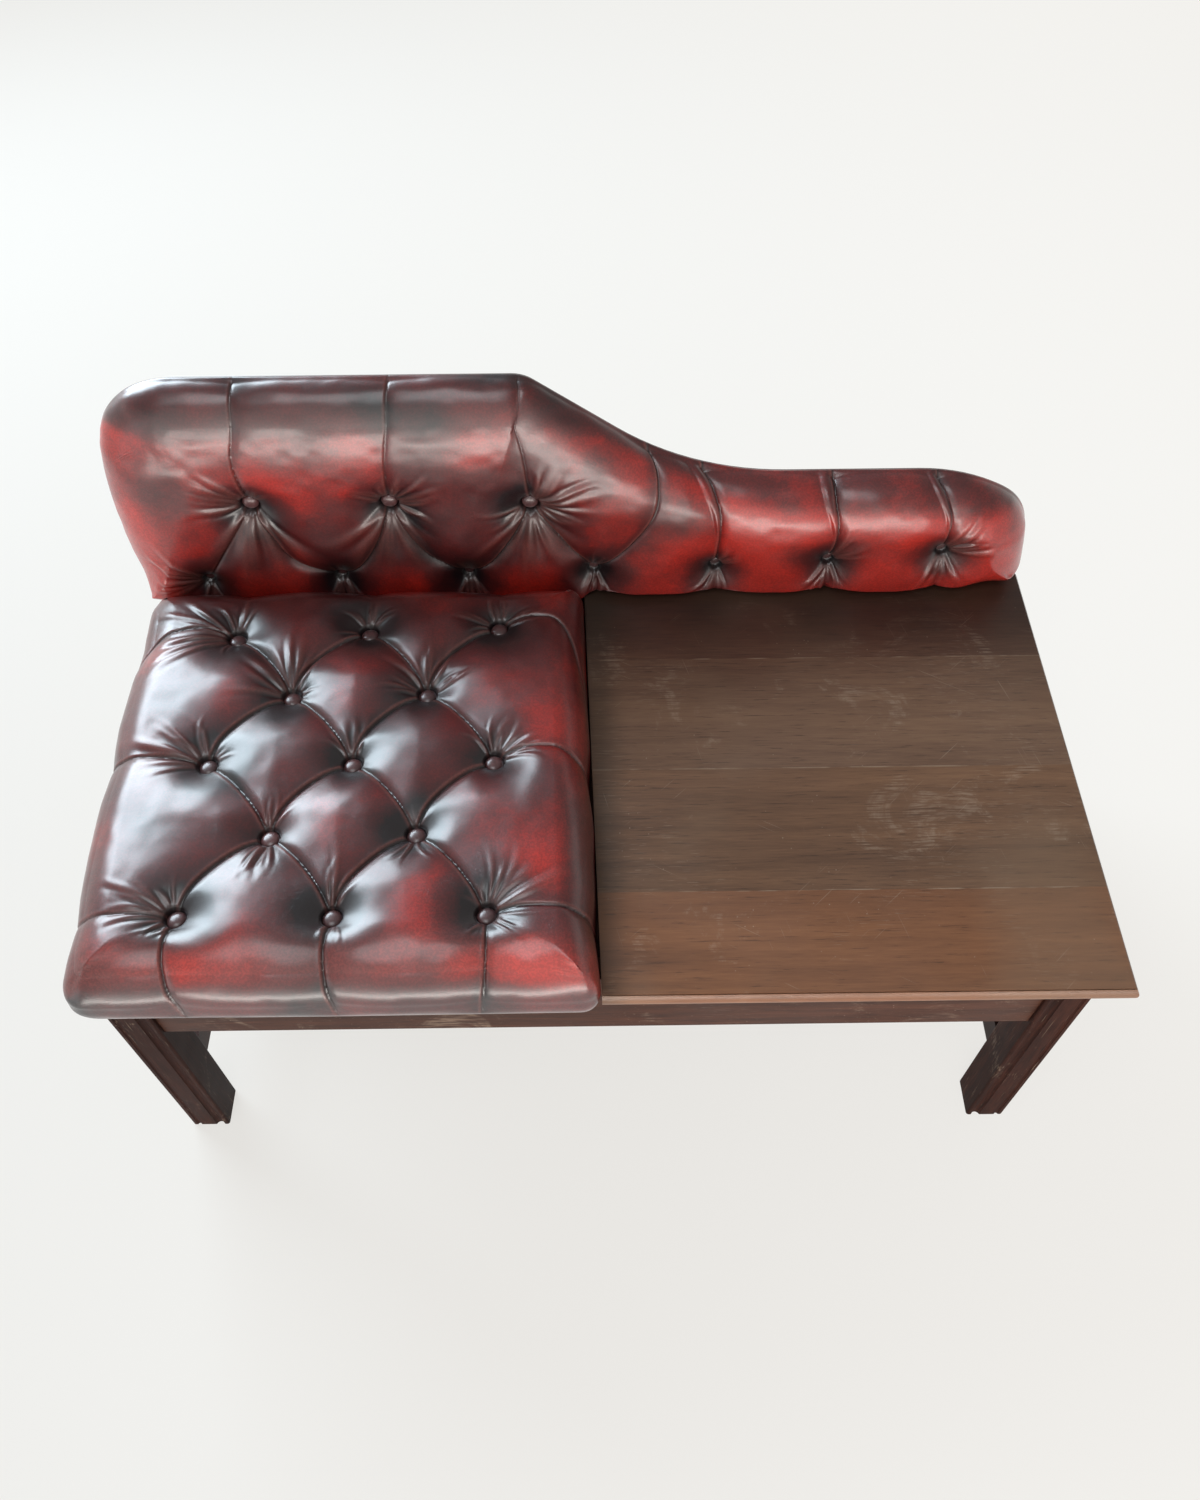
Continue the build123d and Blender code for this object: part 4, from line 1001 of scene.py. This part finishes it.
joints = [float(settled((0, y, 0))[1]) for y in (104.5, 244.4, 388.0)]    # between the boards
scuffed = srgb(176, 156, 136)
finishes = {}
for k, tones in enumerate((
        (srgb(136, 90, 60), srgb(113, 73, 49), srgb(86, 55, 38)),
        (srgb(125, 90, 65), srgb(102, 72, 52), srgb(76, 52, 38)),
        (srgb(120, 90, 68), srgb(99, 72, 55), srgb(74, 52, 41)),
        (srgb(104, 74, 56), srgb(80, 54, 41), srgb(54, 36, 29)))):
    finishes[f"table_board_{k + 1}"] = wood(f"mahogany_board_{k + 1}", *tones,
                                            shift=(0, 3.7 * k, 1.3 * k), worn=scuffed,
                                            sheen=0.5, joints=joints)
leg_wood = wood("mahogany_upright", srgb(68, 36, 26), srgb(39, 19, 14), srgb(17, 9, 8),
                along=2, worn=scuffed, sheen=0.06, gloss=0.55)
rail_wood = wood("mahogany_rail", srgb(84, 50, 36), srgb(56, 32, 23), srgb(29, 17, 13),
                 worn=scuffed, sheen=0.16, gloss=0.5)
cross_wood = wood("mahogany_cross", srgb(64, 34, 27), srgb(42, 22, 18), srgb(24, 13, 11),
                  along=1, sheen=0.12, gloss=0.5)
beech = wood("frame_wood", srgb(196, 160, 118), srgb(170, 132, 92), srgb(132, 98, 66), gloss=0.6)
ply = wood("plywood", srgb(206, 174, 130), srgb(184, 150, 106), srgb(150, 118, 80), gloss=0.6)
brass = plain("nail_brass", srgb(176, 138, 76), srgb(96, 70, 36), 240, 0.35, 1.0, 0.2)
steel = plain("screw_steel", srgb(170, 168, 162), srgb(110, 108, 104), 240, 0.4, 1.0, 0.2)
thread = plain("twine", srgb(196, 180, 146), srgb(150, 132, 100), 900, 0.8)
cloth = plain("dust_cloth", srgb(40, 38, 38), srgb(22, 21, 22), 700, 0.9, bump=0.6)
foam = plain("foam", srgb(226, 206, 150), srgb(196, 176, 122), 500, 0.95)

# A node has the finish of the first of these words that its name holds.
finishes |= {
    "screws": steel, "twines": thread, "nails": brass, "foam": foam, "buttons": button_skin,
    "dust_cover": cloth, "cover": oxblood, "lining": lining_skin, "seat_board": ply,
    "back_board": rail_wood, "block": beech, "leg": leg_wood, "side_rail": cross_wood,
    "cross_rail": cross_wood, "cross_stretcher": rail_wood, "stretcher": cross_wood,
    "rail": rail_wood}
for name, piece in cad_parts.items():
    material = next(finishes[word] for word in finishes if word in name)
    if not piece.material_slots:
        piece.data.materials.append(material)
    for slot in piece.material_slots:
        slot.material = material

# ---- floor, light, camera

PALE = srgb(245, 243, 239)
STUDIO = (1.9, 5.0)         # how far out the floor starts and ends turning into backdrop


def seen(n):
    """1 for what the camera sees, straight or in gloss or glass, and 0 for other light."""
    path = n.add("LightPath").outputs
    return n.math("MAXIMUM", path["Is Camera Ray"],
                  n.math("MAXIMUM", path["Is Glossy Ray"], path["Is Transmission Ray"]))


def floor_material():
    """Takes shadows near the object and glows as a pale backdrop, far out only that."""
    n = Nodes(bpy.data.materials.new("studio_floor"))
    n.set(Base_Color=srgb(222, 220, 216), Roughness=0.9)
    away = n.add("VectorMath", {0: n.place()}, operation="LENGTH").outputs["Value"]
    far = n.span(away, *STUDIO)
    paler = n.span(n.axes(n.place())[0], -1.4, 1.4, 0.885, 1.085)
    strength = n.plus(far, n.times(paler, n.math("SUBTRACT", 1.0, far)))
    glow = n.add("Emission", {"Color": PALE, "Strength": strength})
    share = n.times(seen(n), n.span(away, *STUDIO, 0.8, 1.0))
    n.surface(share, n.tree.nodes[SHADER].outputs[0], glow.outputs[0], "Material Output")
    return n.owner


def light_world():
    """A dim even light, seen as a pale backdrop that is darker high up."""
    n = Nodes(bpy.data.worlds.new("studio"))
    light = n.tree.nodes["Background"]
    n.put(light.inputs["Color"], (1.0, 0.985, 0.97))
    n.put(light.inputs["Strength"], 0.3)
    height = n.axes(n.add("TexCoord").outputs["Generated"])[2]
    backdrop = n.add("Background", {
        "Color": PALE, "Strength": n.span(height, 0.15, 0.5, 1.0, 0.34)})
    n.surface(seen(n), light.outputs[0], backdrop.outputs[0], "World Output")
    return n.owner


bpy.context.scene.world = light_world()
floor = add_mesh("floor", [(-9, -7, 0), (9, -7, 0), (9, 12, 0), (-9, 12, 0)], [(0, 1, 2, 3)],
                 floor_material(), smooth=False)


def lamp(name, place, target, size, radiance, colour):
    """A soft rectangular lamp; its power follows from its size and how bright it looks."""
    data = bpy.data.lights.new(name, "AREA")
    data.shape = "RECTANGLE"
    data.size, data.size_y = size
    data.energy = radiance * math.pi * size[0] * size[1]
    data.color = colour
    thing = bpy.data.objects.new(name, data)
    thing.location = place
    thing.rotation_euler = (Vector(target) - Vector(place)).to_track_quat("-Z", "Y").to_euler()
    thing.visible_camera = False
    bpy.context.scene.collection.objects.link(thing)


lamp("window", (-1.85, 1.8, 1.95), (-0.1, 0.0, 0.42), (2.1, 1.7), 14.0, (0.76, 0.9, 1.0))
lamp("side", (-2.1, -1.3, 0.5), (-0.3, 0.1, 0.5), (0.9, 0.8), 0.9, (0.9, 0.96, 1.0))
lamp("overhead", (-0.5, -1.4, 3.0), (0, 0, 0.3), (1.4, 1.4), 4.2, (0.92, 0.97, 1.0))
lamp("front", (-0.2, -2.6, 1.5), (0, 0.1, 0.5), (3.2, 1.6), 0.7, (1, 0.97, 0.93))
lamp("low_front", (-0.1, -2.15, 0.19), (-0.1, 0, 0.5), (3.0, 0.34), 10.0, (1, 0.95, 0.9))
lamp("low_glow", (-0.1, -2.3, 0.35), (-0.1, 0, 0.5), (3.2, 0.68), 2.4, (1, 0.95, 0.9))

# The camera fitted to the photograph: its place in the drawing's millimetres and its turns.
CAMERA_PLACE = (2.24967527, -444.98279812, 1370.54401779)
CAMERA_TURNS = (-0.32574, 54.23902, -0.41217)       # to the left, down and about its axis
camera_data = bpy.data.cameras.new("camera")
camera_data.lens = 28.848
camera_data.clip_start = 0.05
camera = bpy.data.objects.new("camera", camera_data)
bpy.context.scene.collection.objects.link(camera)
bpy.context.scene.camera = camera
yaw, down, roll = (math.radians(turn) for turn in CAMERA_TURNS)
camera.matrix_world = (Matrix.Translation(settled(CAMERA_PLACE)) @ Matrix.Rotation(yaw, 4, "Z")
                       @ Matrix.Rotation(math.pi / 2 - down, 4, "X")
                       @ Matrix.Rotation(roll, 4, "Z"))

bpy.context.scene.view_settings.view_transform = "Standard"
